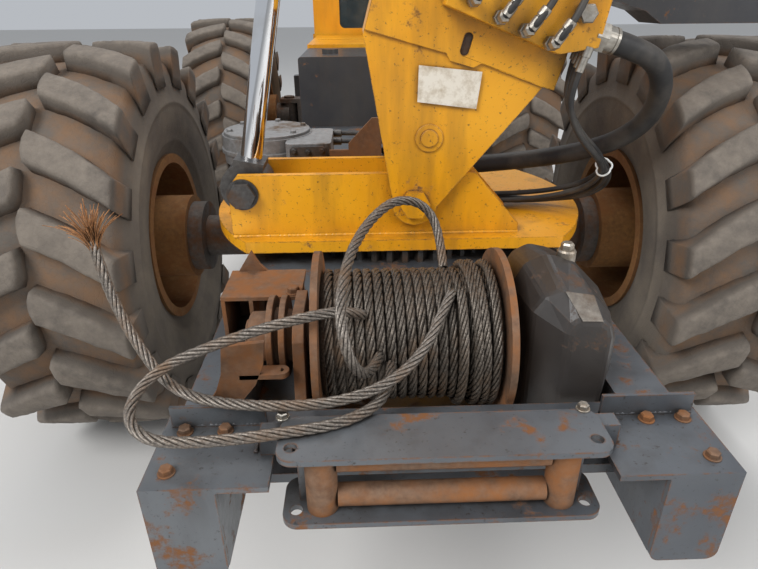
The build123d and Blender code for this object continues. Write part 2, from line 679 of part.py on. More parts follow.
# Saw head: turning flange, arm, motor and guard, with the blade on its shaft
head_start = TIP_REACH + HEAD_FLANGE + SEAT_GAP
ARM_HALF_GAP = 34
ARM_PLATE = 16
SHAFT_RADIUS = 24
MOTOR_RADIUS = 62
with BuildPart() as saw_head:
    with BuildSketch(boom_section(head_start)):
        Circle(HEAD_FLANGE_RADIUS)
    extrude(amount=60)
    with BuildSketch(BOOM_PLANE.offset(-ARM_HALF_GAP - ARM_PLATE)):
        with BuildLine():
            Polyline(
                (head_start + 60, -70),
                (head_start + 60, 70),
                (head_start + SAW_CENTRE, 75),
                (head_start + SAW_CENTRE + 70, 0),
                (head_start + SAW_CENTRE, -75),
                close=True,
            )
        make_face()
    extrude(amount=ARM_PLATE)
    with BuildSketch(boom_section(head_start + 60)):
        with Locations((-ARM_HALF_GAP, 0)):
            Rectangle(2 * ARM_HALF_GAP, 150)
    extrude(amount=40)
    with BuildSketch(BOOM_PLANE.offset(-ARM_HALF_GAP - ARM_PLATE)):
        with Locations((head_start + SAW_CENTRE, 0)):
            Circle(MOTOR_RADIUS)
    extrude(amount=-130)
    with BuildSketch(BOOM_PLANE.offset(-SAW_THICK / 2 - SEAT_GAP)):
        with Locations((head_start + SAW_CENTRE, 0)):
            Circle(SHAFT_RADIUS + 20)
    extrude(amount=-(ARM_HALF_GAP - SAW_THICK / 2 - SEAT_GAP))
    with BuildSketch(BOOM_PLANE.offset(-ARM_HALF_GAP)):
        with Locations((head_start + SAW_CENTRE, 0)):
            Circle(SAW_RADIUS + 26)
            Circle(SAW_RADIUS - 20, mode=Mode.SUBTRACT)
        with Locations((head_start + SAW_CENTRE + 260, 0)):
            Rectangle(640, 800, mode=Mode.SUBTRACT)
    extrude(amount=2)
keep(saw_head.part, "saw_head")

with BuildPart() as saw_blade:
    tooth_angle = 360 / SAW_TEETH
    outline = []
    for i in range(SAW_TEETH):
        a = radians(i * tooth_angle)
        b = radians((i + 0.75) * tooth_angle)
        outline.append((SAW_RADIUS * cos(a), SAW_RADIUS * sin(a)))
        outline.append(((SAW_RADIUS - SAW_TOOTH) * cos(a), (SAW_RADIUS - SAW_TOOTH) * sin(a)))
        outline.append(((SAW_RADIUS - 2) * cos(b), (SAW_RADIUS - 2) * sin(b)))
    with BuildSketch(BOOM_PLANE.offset(-SAW_THICK / 2)):
        with Locations((head_start + SAW_CENTRE, 0)):
            Polygon(*outline, align=None)
    extrude(amount=SAW_THICK)
    with BuildSketch(BOOM_PLANE.offset(SAW_THICK / 2)):
        with Locations((head_start + SAW_CENTRE, 0)):
            Circle(50)
    extrude(amount=14)
keep(saw_blade.part, "saw_blade")

# Lift cylinder: rod with its eye at the turret, barrel hung from the knee plates
with BuildPart() as lift_rod:
    with BuildSketch(ROD_PLANE.offset(-ROD_EYE_WIDTH / 2)):
        Circle(ROD_EYE_RADIUS)
        with Locations((45, 0)):
            Rectangle(90, 96)
        Circle(CYLINDER_PIN_RADIUS + SEAT_GAP, mode=Mode.SUBTRACT)
    extrude(amount=ROD_EYE_WIDTH)
    rod_start = Plane(origin=ROD_PLANE.origin + rod_dir * 88, x_dir=(0, 1, 0), z_dir=rod_dir)
    with BuildSketch(rod_start):
        Circle(ROD_RADIUS)
    extrude(amount=ROD_END - 88)
keep(lift_rod.part, "lift_rod")

barrel_start = CYLINDER_LENGTH - ROD_EYE_RADIUS - BARREL_LENGTH
with BuildPart() as lift_barrel:
    barrel_plane = Plane(origin=ROD_PLANE.origin + rod_dir * barrel_start, x_dir=(0, 1, 0), z_dir=rod_dir)
    with BuildSketch(barrel_plane):
        Circle(BARREL_RADIUS)
        Circle(BARREL_RADIUS - BARREL_WALL, mode=Mode.SUBTRACT)
    extrude(amount=BARREL_LENGTH - 40)
    with BuildSketch(barrel_plane):
        Circle(BARREL_RADIUS + 5)
        Circle(ROD_RADIUS + SEAT_GAP, mode=Mode.SUBTRACT)
    extrude(amount=45)
    with BuildSketch(barrel_plane.offset(BARREL_LENGTH - 40)):
        Circle(BARREL_RADIUS)
    extrude(amount=40)
    with BuildSketch(ROD_PLANE.offset(-ROD_EYE_WIDTH / 2)):
        with Locations((CYLINDER_LENGTH, 0)):
            Circle(ROD_EYE_RADIUS - 10)
        with Locations((CYLINDER_LENGTH - 50, 0)):
            Rectangle(80, 96)
        with Locations((CYLINDER_LENGTH, 0)):
            Circle(CYLINDER_PIN_RADIUS + SEAT_GAP, mode=Mode.SUBTRACT)
    extrude(amount=ROD_EYE_WIDTH)
keep(lift_barrel.part, "lift_barrel")

# Valve manifold on the leg's rear face, with its fittings
manifold_face = -LEG_WIDTH / 2
with BuildPart() as valve_manifold:
    with BuildSketch(LEG_PLANE.offset(manifold_face)):
        with Locations((-118, 625)):
            Rectangle(416, 170)
    extrude(amount=-80)
    with BuildSketch(LEG_PLANE.offset(manifold_face)):
        with Locations((-290, 470)):
            Rectangle(60, 140)
    extrude(amount=-26)
    for x, y in ((60, 575), (-40, 580), (-115, 575), (-190, 572)):
        with BuildSketch(LEG_PLANE.offset(manifold_face - 80)):
            with Locations((x, y)):
                RegularPolygon(20, 6)
        extrude(amount=-34)
keep(valve_manifold.part, "valve_manifold")

# Winch: drum with flanges and wound rope, gear case, motor and clutch end
wrap_count = int((DRUM_RIGHT - DRUM_LEFT) / ROPE_DIAMETER)
wrap_pitch = (DRUM_RIGHT - DRUM_LEFT) / wrap_count
with BuildPart() as winch_drum:
    with BuildSketch(Plane.XY):
        with BuildLine():
            wraps = []
            for i in range(wrap_count):
                x = DRUM_LEFT + i * wrap_pitch
                wraps.append((x, ROPE_PACK_RADIUS - 9))
                wraps.append((x + wrap_pitch / 2, ROPE_PACK_RADIUS))
            wraps.append((DRUM_RIGHT, ROPE_PACK_RADIUS - 9))
            Polyline(
                (DRUM_LEFT - FLANGE_THICK - 20, 0),
                (DRUM_LEFT - FLANGE_THICK - 20, 45),
                (DRUM_LEFT - FLANGE_THICK, 45),
                (DRUM_LEFT - FLANGE_THICK, FLANGE_RADIUS),
                (DRUM_LEFT, FLANGE_RADIUS),
                *wraps,
                (DRUM_RIGHT, FLANGE_RADIUS),
                (DRUM_RIGHT + FLANGE_THICK, FLANGE_RADIUS),
                (DRUM_RIGHT + FLANGE_THICK, 45),
                (DRUM_RIGHT + FLANGE_THICK + 20, 45),
                (DRUM_RIGHT + FLANGE_THICK + 20, 0),
                close=True,
            )
        make_face()
    revolve(axis=Axis.X)
keep(winch_drum.part.moved(Location((0, WINCH_Y, WINCH_Z))), "winch_drum")

CASE_LEFT = DRUM_RIGHT + FLANGE_THICK + 20
CASE_RIGHT = FRAME_HALF_WIDTH - RAIL_WIDTH - 5
CASE_RADIUS = 188
with BuildPart() as winch_gearcase:
    with BuildSketch(Plane.YZ.offset(CASE_LEFT)):
        with Locations((WINCH_Y, WINCH_Z)):
            Circle(CASE_RADIUS)
        with Locations((WINCH_Y, (WINCH_BASE + WINCH_Z) / 2)):
            Rectangle(2 * CASE_RADIUS, WINCH_Z - WINCH_BASE)
    extrude(amount=CASE_RIGHT - CASE_LEFT, taper=4)
    with BuildSketch(Plane.YZ.offset(CASE_RIGHT)):
        with Locations((WINCH_Y + 20, WINCH_Z + 50)):
            Circle(100)
    extrude(amount=40, taper=20)
    with Locations((330, WINCH_Y + 20, WINCH_Z + 190)):
        Cylinder(22, 40)
    with BuildSketch(Plane.YZ.offset(CASE_RIGHT)):
        with Locations((WINCH_Y - 70, WINCH_Z - 10)):
            Circle(52)
    extrude(amount=140)
keep(winch_gearcase.part, "winch_gearcase")

STAND_X = DRUM_LEFT - FLANGE_THICK - 20
with BuildPart() as winch_clutch:
    with BuildSketch(Plane.YZ.offset(STAND_X)):
        with BuildLine():
            Polyline(
                (WINCH_Y - 170, WINCH_BASE),
                (WINCH_Y - 120, WINCH_Z + 60),
                (WINCH_Y - 60, WINCH_Z + 120),
                (WINCH_Y + 60, WINCH_Z + 120),
                (WINCH_Y + 170, WINCH_BASE),
                close=True,
            )
        make_face()
    extrude(amount=-30)
    with BuildSketch(Plane.YZ.offset(STAND_X - 30)):
        with Locations((WINCH_Y, WINCH_Z)):
            Circle(85)
    extrude(amount=-80)
    with BuildSketch(Plane.YZ.offset(STAND_X - 110)):
        with Locations((WINCH_Y, WINCH_Z)):
            Circle(45)
    extrude(amount=-30)
    with Locations((STAND_X - 60, WINCH_Y - 100, WINCH_Z - 30)):
        Box(20, 190, 22)
keep(winch_clutch.part, "winch_clutch")

# Roller fairlead: two plates joined by cheeks, with four rollers between them
fairlead_depth = 120
with BuildPart() as fairlead_frame:
    for z in (FAIRLEAD_TOP - FAIRLEAD_PLATE, FAIRLEAD_BOTTOM):
        with BuildSketch(Plane.XY.offset(z)):
            with Locations((0, FAIRLEAD_Y)):
                RectangleRounded(2 * FAIRLEAD_HALF, fairlead_depth, 30)
            with Locations((-SHACKLE_X, FAIRLEAD_Y - 25), (SHACKLE_X, FAIRLEAD_Y - 25)):
                Circle(SHACKLE_RADIUS, mode=Mode.SUBTRACT)
        extrude(amount=FAIRLEAD_PLATE)
    for side in (-1, 1):
        with Locations((side * 262, FAIRLEAD_Y + 30, (FAIRLEAD_TOP + FAIRLEAD_BOTTOM) / 2)):
            Box(16, 60, FAIRLEAD_TOP - FAIRLEAD_BOTTOM - 2 * FAIRLEAD_PLATE)
        with Locations((side * (FAIRLEAD_HALF + 10), FAIRLEAD_Y + 42, FAIRLEAD_TOP - FAIRLEAD_PLATE - 24)):
            Box(60, 36, 48)
keep(fairlead_frame.part, "fairlead_frame")

with BuildPart() as fairlead_rollers:
    for x in (-225, 225):
        with Locations((x, FAIRLEAD_Y - 15, (FAIRLEAD_TOP + FAIRLEAD_BOTTOM) / 2)):
            Cylinder(SIDE_ROLLER_RADIUS, FAIRLEAD_TOP - FAIRLEAD_BOTTOM - 2 * FAIRLEAD_PLATE)
    for z in (FAIRLEAD_TOP - FAIRLEAD_PLATE - 27, FAIRLEAD_BOTTOM + FAIRLEAD_PLATE + 27):
        with Locations((0, FAIRLEAD_Y - 15, z)):
            Cylinder(ROLLER_RADIUS, 2 * (225 - SIDE_ROLLER_RADIUS), rotation=(0, 90, 0))
keep(fairlead_rollers.part, "fairlead_rollers")

# Hydraulic tank, hood, engine and exhaust
with BuildPart() as hydraulic_tank:
    with BuildSketch(Plane.XZ.offset(-TANK_FRONT)):
        with Locations((0, (FRAME_TOP + TANK_TOP) / 2)):
            RectangleRounded(2 * FRAME_HALF_WIDTH, TANK_TOP - FRAME_TOP, 20)
    extrude(amount=TANK_FRONT - TANK_REAR)
    with Locations((-330, TANK_REAR + 260, TANK_TOP + 15)):
        Cylinder(55, 30)
keep(hydraulic_tank.part, "hydraulic_tank")

hood_mid = (HOOD_REAR + HOOD_FRONT) / 2
hood_length = HOOD_FRONT - HOOD_REAR
with BuildPart() as engine_hood:
    with BuildSketch(Plane.XZ.offset(-HOOD_FRONT)):
        with Locations((0, (FRAME_TOP + HOOD_TOP) / 2)):
            Rectangle(2 * FRAME_HALF_WIDTH, HOOD_TOP - FRAME_TOP)
            with Locations((0, -HOOD_WALL)):
                Rectangle(2 * (FRAME_HALF_WIDTH - HOOD_WALL), HOOD_TOP - FRAME_TOP, mode=Mode.SUBTRACT)
    extrude(amount=hood_length)
    with Locations((0, HOOD_REAR + HOOD_WALL / 2, (FRAME_TOP + HOOD_TOP) / 2)):
        Box(2 * FRAME_HALF_WIDTH, HOOD_WALL, HOOD_TOP - FRAME_TOP)
    with BuildSketch(Plane.YZ):
        with Locations((hood_mid, (FRAME_TOP + HOOD_TOP) / 2)):
            with GridLocations(0, 44, 1, 7):
                Rectangle(620, 22)
    extrude(amount=FRAME_HALF_WIDTH, both=True, mode=Mode.SUBTRACT)
    with BuildSketch(Plane.XY.offset(HOOD_TOP - HOOD_WALL)):
        with Locations((-280, HOOD_REAR + 620)):
            SlotOverall(420, 40)
    extrude(amount=HOOD_WALL, mode=Mode.SUBTRACT)
keep(engine_hood.part, "engine_hood")

with BuildPart() as engine_block:
    with Locations((0, hood_mid, FRAME_TOP + 225)):
        Box(620, 1000, 450)
    for y in (hood_mid - 380, hood_mid + 380):
        with Locations((0, y, FRAME_TOP + 20)):
            Box(860, 90, 40)
keep(engine_block.part, "engine_block")

with BuildPart() as exhaust_stack:
    with Locations((380, HOOD_FRONT - 180, HOOD_TOP + 210)):
        Cylinder(75, 420)
    with Locations((380, HOOD_FRONT - 180, HOOD_TOP + 560)):
        Cylinder(38, 300)
keep(exhaust_stack.part, "exhaust_stack")

# Front bumper across the rail ends
with BuildPart() as front_bumper:
    with BuildSketch(Plane.XY.offset(BUMPER_BOTTOM)):
        with BuildLine():
            Polyline(
                (-900, FRONT_END + 60),
                (-900, BUMPER_FRONT - 70),
                (-780, BUMPER_FRONT),
                (780, BUMPER_FRONT),
                (900, BUMPER_FRONT - 70),
                (900, FRONT_END + 60),
                (780, FRONT_END + 120),
                (FRAME_HALF_WIDTH, FRONT_END + 120),
                (FRAME_HALF_WIDTH, FRONT_END),
                (-FRAME_HALF_WIDTH, FRONT_END),
                (-FRAME_HALF_WIDTH, FRONT_END + 120),
                (-780, FRONT_END + 120),
                close=True,
            )
        make_face()
    extrude(amount=BUMPER_TOP - BUMPER_BOTTOM)
    with BuildSketch(Plane.XY.offset((BUMPER_TOP + BUMPER_BOTTOM - TOW_PLATE) / 2)):
        with Locations((0, BUMPER_FRONT + TOW_REACH / 2 - 20)):
            RectangleRounded(150, TOW_REACH + 40, 19)
        with Locations((0, BUMPER_FRONT + TOW_REACH / 2)):
            Circle(TOW_HOLE, mode=Mode.SUBTRACT)
    extrude(amount=TOW_PLATE)
keep(front_bumper.part, "front_bumper")

# Cab: floor, four walls with their openings, roof, panes, seat and console
cab_mid = (CAB_REAR + CAB_FRONT) / 2
cab_length = CAB_FRONT - CAB_REAR
inner_length = cab_length - 2 * CAB_WALL
wall_bottom = FRAME_TOP + CAB_FLOOR
wall_height = CAB_EAVE - wall_bottom
with BuildPart() as cab_floor:
    with Locations((0, cab_mid, FRAME_TOP + CAB_FLOOR / 2)):
        Box(2 * CAB_HALF_WIDTH, cab_length, CAB_FLOOR)
keep(cab_floor.part, "cab_floor")

end_walls = [
    # name, rear face, window left, right, bottom, top
    ("cab_rear_wall", CAB_REAR, -310, 480, 1480, 2400),
    ("cab_front_wall", CAB_FRONT - CAB_WALL, -490, 490, 1300, 2420),
]
side_walls = [
    # name, left face, opening rear, front, bottom, top
    ("cab_right_wall", CAB_HALF_WIDTH - CAB_WALL, CAB_REAR + 120, CAB_FRONT - 120, 1480, 2400),
    ("cab_left_wall", -CAB_HALF_WIDTH, DOOR_REAR, DOOR_FRONT, wall_bottom + 20, 2440),
]
panes = [
    # name, side walls first axis, low and high along it, bottom, top, place of the pane's middle
    ("rear_glass", "across", -310, 480, 1480, 2400, CAB_REAR + CAB_WALL / 2),
    ("front_glass", "across", -490, 490, 1300, 2420, CAB_FRONT - CAB_WALL / 2),
    ("right_glass", "along", CAB_REAR + 120, CAB_FRONT - 120, 1480, 2400, CAB_HALF_WIDTH - CAB_WALL / 2),
]
for name, y, left, right, bottom, top in end_walls:
    with BuildPart() as wall:
        with BuildSketch(Plane.XZ.offset(-y)):
            with Locations((0, wall_bottom + wall_height / 2)):
                Rectangle(2 * CAB_HALF_WIDTH, wall_height)
            with Locations(((left + right) / 2, (bottom + top) / 2)):
                RectangleRounded(right - left, top - bottom, 50, mode=Mode.SUBTRACT)
        extrude(amount=-CAB_WALL)
    keep(wall.part, name)
hinge_reach = HINGE_RADIUS + 3
hinge_x = -CAB_HALF_WIDTH - hinge_reach
hinge_y = DOOR_FRONT + 6
hinge_heights = (1240, 2220)
for name, x, rear, front, bottom, top in side_walls:
    with BuildPart() as wall:
        with BuildSketch(Plane.YZ.offset(x)):
            with Locations((cab_mid, wall_bottom + wall_height / 2)):
                Rectangle(inner_length, wall_height)
            with Locations(((rear + front) / 2, (bottom + top) / 2)):
                RectangleRounded(front - rear, top - bottom, 50, mode=Mode.SUBTRACT)
        extrude(amount=CAB_WALL)
        if x < 0:
            for z in hinge_heights:
                with Locations((hinge_x, hinge_y, z - HINGE_LENGTH / 2)):
                    Cylinder(HINGE_RADIUS, HINGE_LENGTH)
                with Locations((hinge_x + hinge_reach / 2, hinge_y + 14, z - HINGE_LENGTH / 2)):
                    Box(hinge_reach, 28, HINGE_LENGTH)
    keep(wall.part, name)
with BuildPart() as cab_glass:
    for name, way, low, high, bottom, top, middle in panes:
        across = Plane.XZ.offset(-middle - GLASS_THICK / 2)
        along = Plane.YZ.offset(middle - GLASS_THICK / 2)
        with BuildSketch(across if way == "across" else along):
            with Locations(((low + high) / 2, (bottom + top) / 2)):
                RectangleRounded(high - low, top - bottom, 50)
        extrude(amount=GLASS_THICK)
keep(cab_glass.part, "cab_glass")

with BuildPart() as cab_roof:
    with BuildSketch(Plane.XY.offset(CAB_EAVE)):
        with Locations((0, cab_mid)):
            RectangleRounded(2 * CAB_HALF_WIDTH + 60, cab_length + 60, 60)
    extrude(amount=CAB_ROOF)
    chamfer(cab_roof.faces().sort_by(Axis.Z)[-1].edges(), 18)
keep(cab_roof.part, "cab_roof")

# Door in the left wall, with its pane and handle
door_low = wall_bottom + 20 + DOOR_GAP
door_high = 2440 - DOOR_GAP
with BuildPart() as cab_door:
    with BuildSketch(Plane.YZ.offset(-CAB_HALF_WIDTH)):
        with Locations(((DOOR_REAR + DOOR_FRONT) / 2, (door_low + door_high) / 2)):
            RectangleRounded(DOOR_FRONT - DOOR_REAR - 2 * DOOR_GAP, door_high - door_low, 45)
        with Locations(((DOOR_REAR + DOOR_FRONT) / 2, (1400 + 2370) / 2)):
            RectangleRounded(DOOR_FRONT - DOOR_REAR - 150, 2370 - 1400, 40, mode=Mode.SUBTRACT)
    extrude(amount=CAB_WALL)
    with Locations((-CAB_HALF_WIDTH - 15, DOOR_REAR + 60, 1340)):
        Box(30, 24, 160)
    for z in hinge_heights:
        with Locations((hinge_x, hinge_y, z + SEAT_GAP + HINGE_LENGTH / 2)):
            Cylinder(HINGE_RADIUS, HINGE_LENGTH)
        with Locations((hinge_x + hinge_reach / 2, hinge_y - 20, z + SEAT_GAP + HINGE_LENGTH / 2)):
            Box(hinge_reach, 40, HINGE_LENGTH)
keep(cab_door.part, "cab_door")
with BuildPart() as door_glass:
    with BuildSketch(Plane.YZ.offset(-CAB_HALF_WIDTH + CAB_WALL / 2)):
        with Locations(((DOOR_REAR + DOOR_FRONT) / 2, (1400 + 2370) / 2)):
            RectangleRounded(DOOR_FRONT - DOOR_REAR - 150, 2370 - 1400, 40)
    extrude(amount=GLASS_THICK)
keep(door_glass.part, "door_glass")

with BuildPart() as cab_seat:
    with Locations((0, cab_mid - 180, wall_bottom + 150)):
        Box(360, 380, 300)
    with Locations((0, cab_mid - 160, wall_bottom + 360)):
        Box(500, 480, 120)
    with Locations((0, cab_mid - 350, wall_bottom + 720)):
        Box(480, 110, 600)
keep(cab_seat.part, "cab_seat")
with BuildPart() as cab_console:
    for side in (-1, 1):
        with Locations((side * 340, cab_mid - 150, wall_bottom + 260)):
            Box(150, 420, 520)
        with Locations((side * 340, cab_mid - 20, wall_bottom + 590)):
            Cylinder(24, 140)
keep(cab_console.part, "cab_console")

# Step below the door, hung from the frame
with BuildPart() as cab_step:
    for z in (520, 780):
        with Locations((-650, (DOOR_REAR + DOOR_FRONT) / 2 + 60, z)):
            Box(180, 420, 30)
    for y in (-135, 255):
        with Locations((-570, (DOOR_REAR + DOOR_FRONT) / 2 + y - 0, 710)):
            Box(80, 24, 420)
keep(cab_step.part, "cab_step")

# Lamps on the roof's front edge and on the bumper
with BuildPart() as work_lamps:
    for x in (-420, -180, 180, 420):
        with Locations((x, CAB_FRONT - 10, CAB_EAVE + CAB_ROOF + 14 + LAMP_RADIUS)):
            Cylinder(LAMP_RADIUS, 70, rotation=(90, 0, 0))
        with Locations((x, CAB_FRONT - 10, CAB_EAVE + CAB_ROOF + 8)):
            Box(40, 50, 16)
keep(work_lamps.part, "work_lamps")

# Valve box on the turret, carried over the right tyre by a bent arm
with BuildPart() as valve_box:
    with BuildSketch(Plane.XZ.offset(150)):
        with BuildLine():
            Polyline(
                (640, 1740),
                (640, 1960),
                (1230, 1960),
                (1230, 1650),
                (880, 1650),
                (820, 1690),
                close=True,
            )
        make_face()
    extrude(amount=170)
    with Locations((270, -190, 1419)):
        Box(90, 70, 762)
    with Locations((435, -190, 1830)):
        Box(420, 70, 60)
keep(valve_box.part, "valve_box")

# Write every piece, moved so that the box's bottom centre is the origin
whole_box = Compound(children=[Part(p.wrapped) for p in all_parts]).bounding_box()
BASE_SHIFT = Vector(-round(whole_box.center().X), -round(whole_box.center().Y), 0)
print("base shift", BASE_SHIFT, "size", whole_box.size, "lowest", whole_box.min.Z)
for part in all_parts:
    placed = part.moved(Location(BASE_SHIFT))
    placed.label = part.label
    export_step(placed, f"parts/{part.label}.step")
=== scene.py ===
"""Looks of the tree trimming machine: materials, small parts, light and camera.

Lengths are in metres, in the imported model's frame: X to the machine's right, Y forward, Z up.
Tables and routes are in millimetres in the machine's own axes, whose zero is on the floor below the
middle of the rear axle; at() and mm() bring them into the frame.
"""
import bmesh
import bpy
import random
from math import cos, pi, radians, sin
from mathutils import Matrix, Vector, noise


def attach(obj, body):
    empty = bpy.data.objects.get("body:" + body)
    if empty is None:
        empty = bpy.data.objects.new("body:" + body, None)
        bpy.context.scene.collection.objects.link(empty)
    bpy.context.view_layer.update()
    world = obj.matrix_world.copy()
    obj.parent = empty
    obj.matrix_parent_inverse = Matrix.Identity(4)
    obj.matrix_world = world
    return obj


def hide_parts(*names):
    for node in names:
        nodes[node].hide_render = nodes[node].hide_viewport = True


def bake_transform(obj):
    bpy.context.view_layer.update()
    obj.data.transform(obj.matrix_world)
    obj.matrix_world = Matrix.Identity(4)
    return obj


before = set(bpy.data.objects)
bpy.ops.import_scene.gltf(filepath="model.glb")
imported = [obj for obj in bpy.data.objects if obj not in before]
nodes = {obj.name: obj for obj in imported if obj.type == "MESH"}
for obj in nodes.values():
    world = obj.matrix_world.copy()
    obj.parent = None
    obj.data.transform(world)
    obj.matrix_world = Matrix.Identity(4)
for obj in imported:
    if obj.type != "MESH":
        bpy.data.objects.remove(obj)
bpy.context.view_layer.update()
random.seed(7)

# Shared values: four in metres, eight in millimetres, a lean and two directions
SHIFT = Vector((1.321, -1.708, 0))
AXLE_HEIGHT = 0.7986
WHEELBASE = 2.95
HALF_TRACK = 1.2
FRAME_TOP = 950
PLATE_TOP = 1038
WINCH_Y = -1250
WINCH_Z = 1030
WINCH_BASE = 815
BOOM_Y = -520
PIVOT_X = 30
PIVOT_Z = 1150
LEG_LEAN = radians(15.7)
UP = (0, 0, 1)
REARWARD = (0, -1, 0)


def at(x, y, z):
    """A point of the machine's own axes, in the model's frame."""
    return Vector((x, y, z)) + SHIFT


def mm(x, y, z):
    """The same for a point in millimetres."""
    return at(x / 1000, y / 1000, z / 1000)


def placed(name, data):
    """A new object of the scene that holds this data."""
    made = bpy.data.objects.new(name, data)
    bpy.context.scene.collection.objects.link(made)
    return made


# Camera: stands behind the machine at eye height and looks down on the winch
IMAGE_WIDTH = 758
FOCAL_PIXELS = 574.85
SENSOR_WIDTH = 36
CAMERA_PLACE = (-0.14, -2.407, 1.732)
CAMERA_YAW = 0.031
CAMERA_PITCH = 0.461
CAMERA_ROLL = -0.008
camera_data = bpy.data.cameras.new("photo_camera")
camera_data.sensor_width = SENSOR_WIDTH
camera_data.lens = SENSOR_WIDTH * FOCAL_PIXELS / IMAGE_WIDTH
camera_data.clip_end = 200
camera = placed("photo_camera", camera_data)
camera.matrix_world = Matrix.Translation(at(*CAMERA_PLACE))
for angle, axis in ((-CAMERA_YAW, "Z"), (pi / 2 - CAMERA_PITCH, "X"), (CAMERA_ROLL, "Z")):
    camera.matrix_world = camera.matrix_world @ Matrix.Rotation(angle, 4, axis)
bpy.context.scene.camera = camera
bpy.context.scene.view_settings.view_transform = "Standard"


# Materials: each is built from noise, edge wear and dirt over a base colour, and several add painted shade
# in hollows
class Surface:
    """A node material with short calls for its usual parts."""

    def __init__(self, name):
        self.material = bpy.data.materials.new(name)
        self.material.use_nodes = True
        self.tree = self.material.node_tree
        self.shader = self.tree.nodes["Principled BSDF"]
        self.place = self.node("ShaderNodeTexCoord").outputs["Object"]
        self.normal = self.node("ShaderNodeNewGeometry").outputs["Normal"]

    def feed(self, value, target):
        """Link an output to this input, or set the input to a number, a vector or a colour."""
        if isinstance(value, bpy.types.NodeSocket):
            self.tree.links.new(value, target)
        elif target.type == "RGBA":
            target.default_value = (*value, 1)
        else:
            target.default_value = value

    def node(self, kind, *values, **settings):
        """A new node: values for its first inputs, then settings for named inputs or properties."""
        made = self.tree.nodes.new(kind)
        for value, target in zip(values, made.inputs):
            self.feed(value, target)
        for key, value in settings.items():
            if key in made.inputs:
                self.feed(value, made.inputs[key])
            else:
                setattr(made, key, value)
        return made

    def place_after(self, operation, vector):
        """The place vector, moved or scaled by axis."""
        return self.node("ShaderNodeVectorMath", self.place, vector, operation=operation).outputs[0]

    def noise(self, scale, detail=5, roughness=0.6, place=None):
        place = place or self.place
        made = self.node("ShaderNodeTexNoise", Vector=place, Scale=scale, Detail=detail, Roughness=roughness)
        return made.outputs["Fac"]

    def step(self, value, low, high):
        """0 below low, 1 above high."""
        return self.node("ShaderNodeMapRange", value, low, high).outputs["Result"]

    def math(self, operation, first, second):
        return self.node("ShaderNodeMath", first, second, operation=operation).outputs[0]

    def times(self, first, second):
        return self.math("MULTIPLY", first, second)

    def plus(self, first, second):
        return self.math("ADD", first, second)

    def mix(self, factor, first, second):
        """The first colour where the factor is 0, the second where it is 1."""
        made = self.node("ShaderNodeMix", factor, data_type="RGBA")
        colours = [target for target in made.inputs if target.type == "RGBA"]
        for value, target in zip((first, second), colours):
            self.feed(value, target)
        return next(output for output in made.outputs if output.type == "RGBA")

    def over(self, colour, tint, mask, amount):
        """A colour with a tint laid over it, as strong as the mask times the amount."""
        return self.mix(self.times(mask, amount), colour, tint)

    def occlusion_shade(self, distance=0.12):
        """1 in corners and gaps, where ambient shade falls, and 0 on open faces; it paints shade into
        colours.
        """
        made = self.node("ShaderNodeAmbientOcclusion", samples=6, Distance=distance)
        return self.step(made.outputs["AO"], low=0.75, high=0.2)

    def edge(self):
        """1 along sharp edges."""
        soft_normal = self.node("ShaderNodeBevel", samples=4, Radius=0.006).outputs[0]
        made = self.node("ShaderNodeVectorMath", soft_normal, self.normal, operation="DOT_PRODUCT")
        return self.step(made.outputs["Value"], low=0.985, high=0.9)

    def upward(self):
        """1 on faces that look up."""
        return self.step(self.node("ShaderNodeSeparateXYZ", self.normal).outputs["Z"], low=0.55, high=0.95)

    def done(self, colour, rough, height=None, strength=0, distance=0.002, metal=0):
        """The finished material, with bumps where a height is given."""
        self.feed(colour, self.shader.inputs["Base Color"])
        self.feed(rough, self.shader.inputs["Roughness"])
        self.feed(metal, self.shader.inputs["Metallic"])
        if height:
            bumps = self.node("ShaderNodeBump", Height=height, Strength=strength, Distance=distance)
            self.feed(bumps.outputs[0], self.shader.inputs["Normal"])
        return self.material


def worn_paint(name, base, faded, grime_and_shade, rust, wear, dirt_and_shade, metal=0, rough=(0.38, 0.62)):
    """Paint over steel: fading, scratches to rust at edges, grime in streaks and specks, and grime with
    painted shade in corners.
    """
    s = Surface(name)
    broad = s.noise(1.7, 4)
    fine = s.noise(38, 6, 0.65)
    speck = s.noise(95, 3, 0.7)
    streak = s.noise(9, 5, 0.6, s.place_after("MULTIPLY", (1, 1, 0.16)))
    colour = s.mix(s.step(broad, 0.35, 0.7), base, faded)
    colour = s.over(colour, grime_and_shade, s.step(streak, 0.5, 0.78), 0.45 * dirt_and_shade + 0.1)
    colour = s.over(colour, grime_and_shade, s.step(speck, 0.62, 0.7), dirt_and_shade * 0.75)
    worn = s.times(s.edge(), s.step(fine, 0.42, 0.58))
    blotch = s.step(s.noise(6.5, 7, 0.7), 0.66 - 0.1 * wear, 0.7 - 0.08 * wear)
    patch = s.times(blotch, s.step(fine, 0.4, 0.55))
    bare = s.math("MAXIMUM", s.times(worn, min(1, 0.4 + wear)), patch)
    colour = s.mix(bare, colour, rust)
    # grime and painted shade: occlusion darkens corners toward the grime colour, broken up by noise
    corner = s.times(s.occlusion_shade(), s.step(s.noise(14, 5), 0.25, 0.6))
    colour = s.over(colour, grime_and_shade, corner, dirt_and_shade)
    roughness = s.step(s.plus(s.times(fine, 0.4), bare), rough[0] - rough[1], 1)
    return s.done(colour, roughness, s.plus(s.times(fine, 0.5), s.times(bare, -0.6)), 0.25, metal=metal)


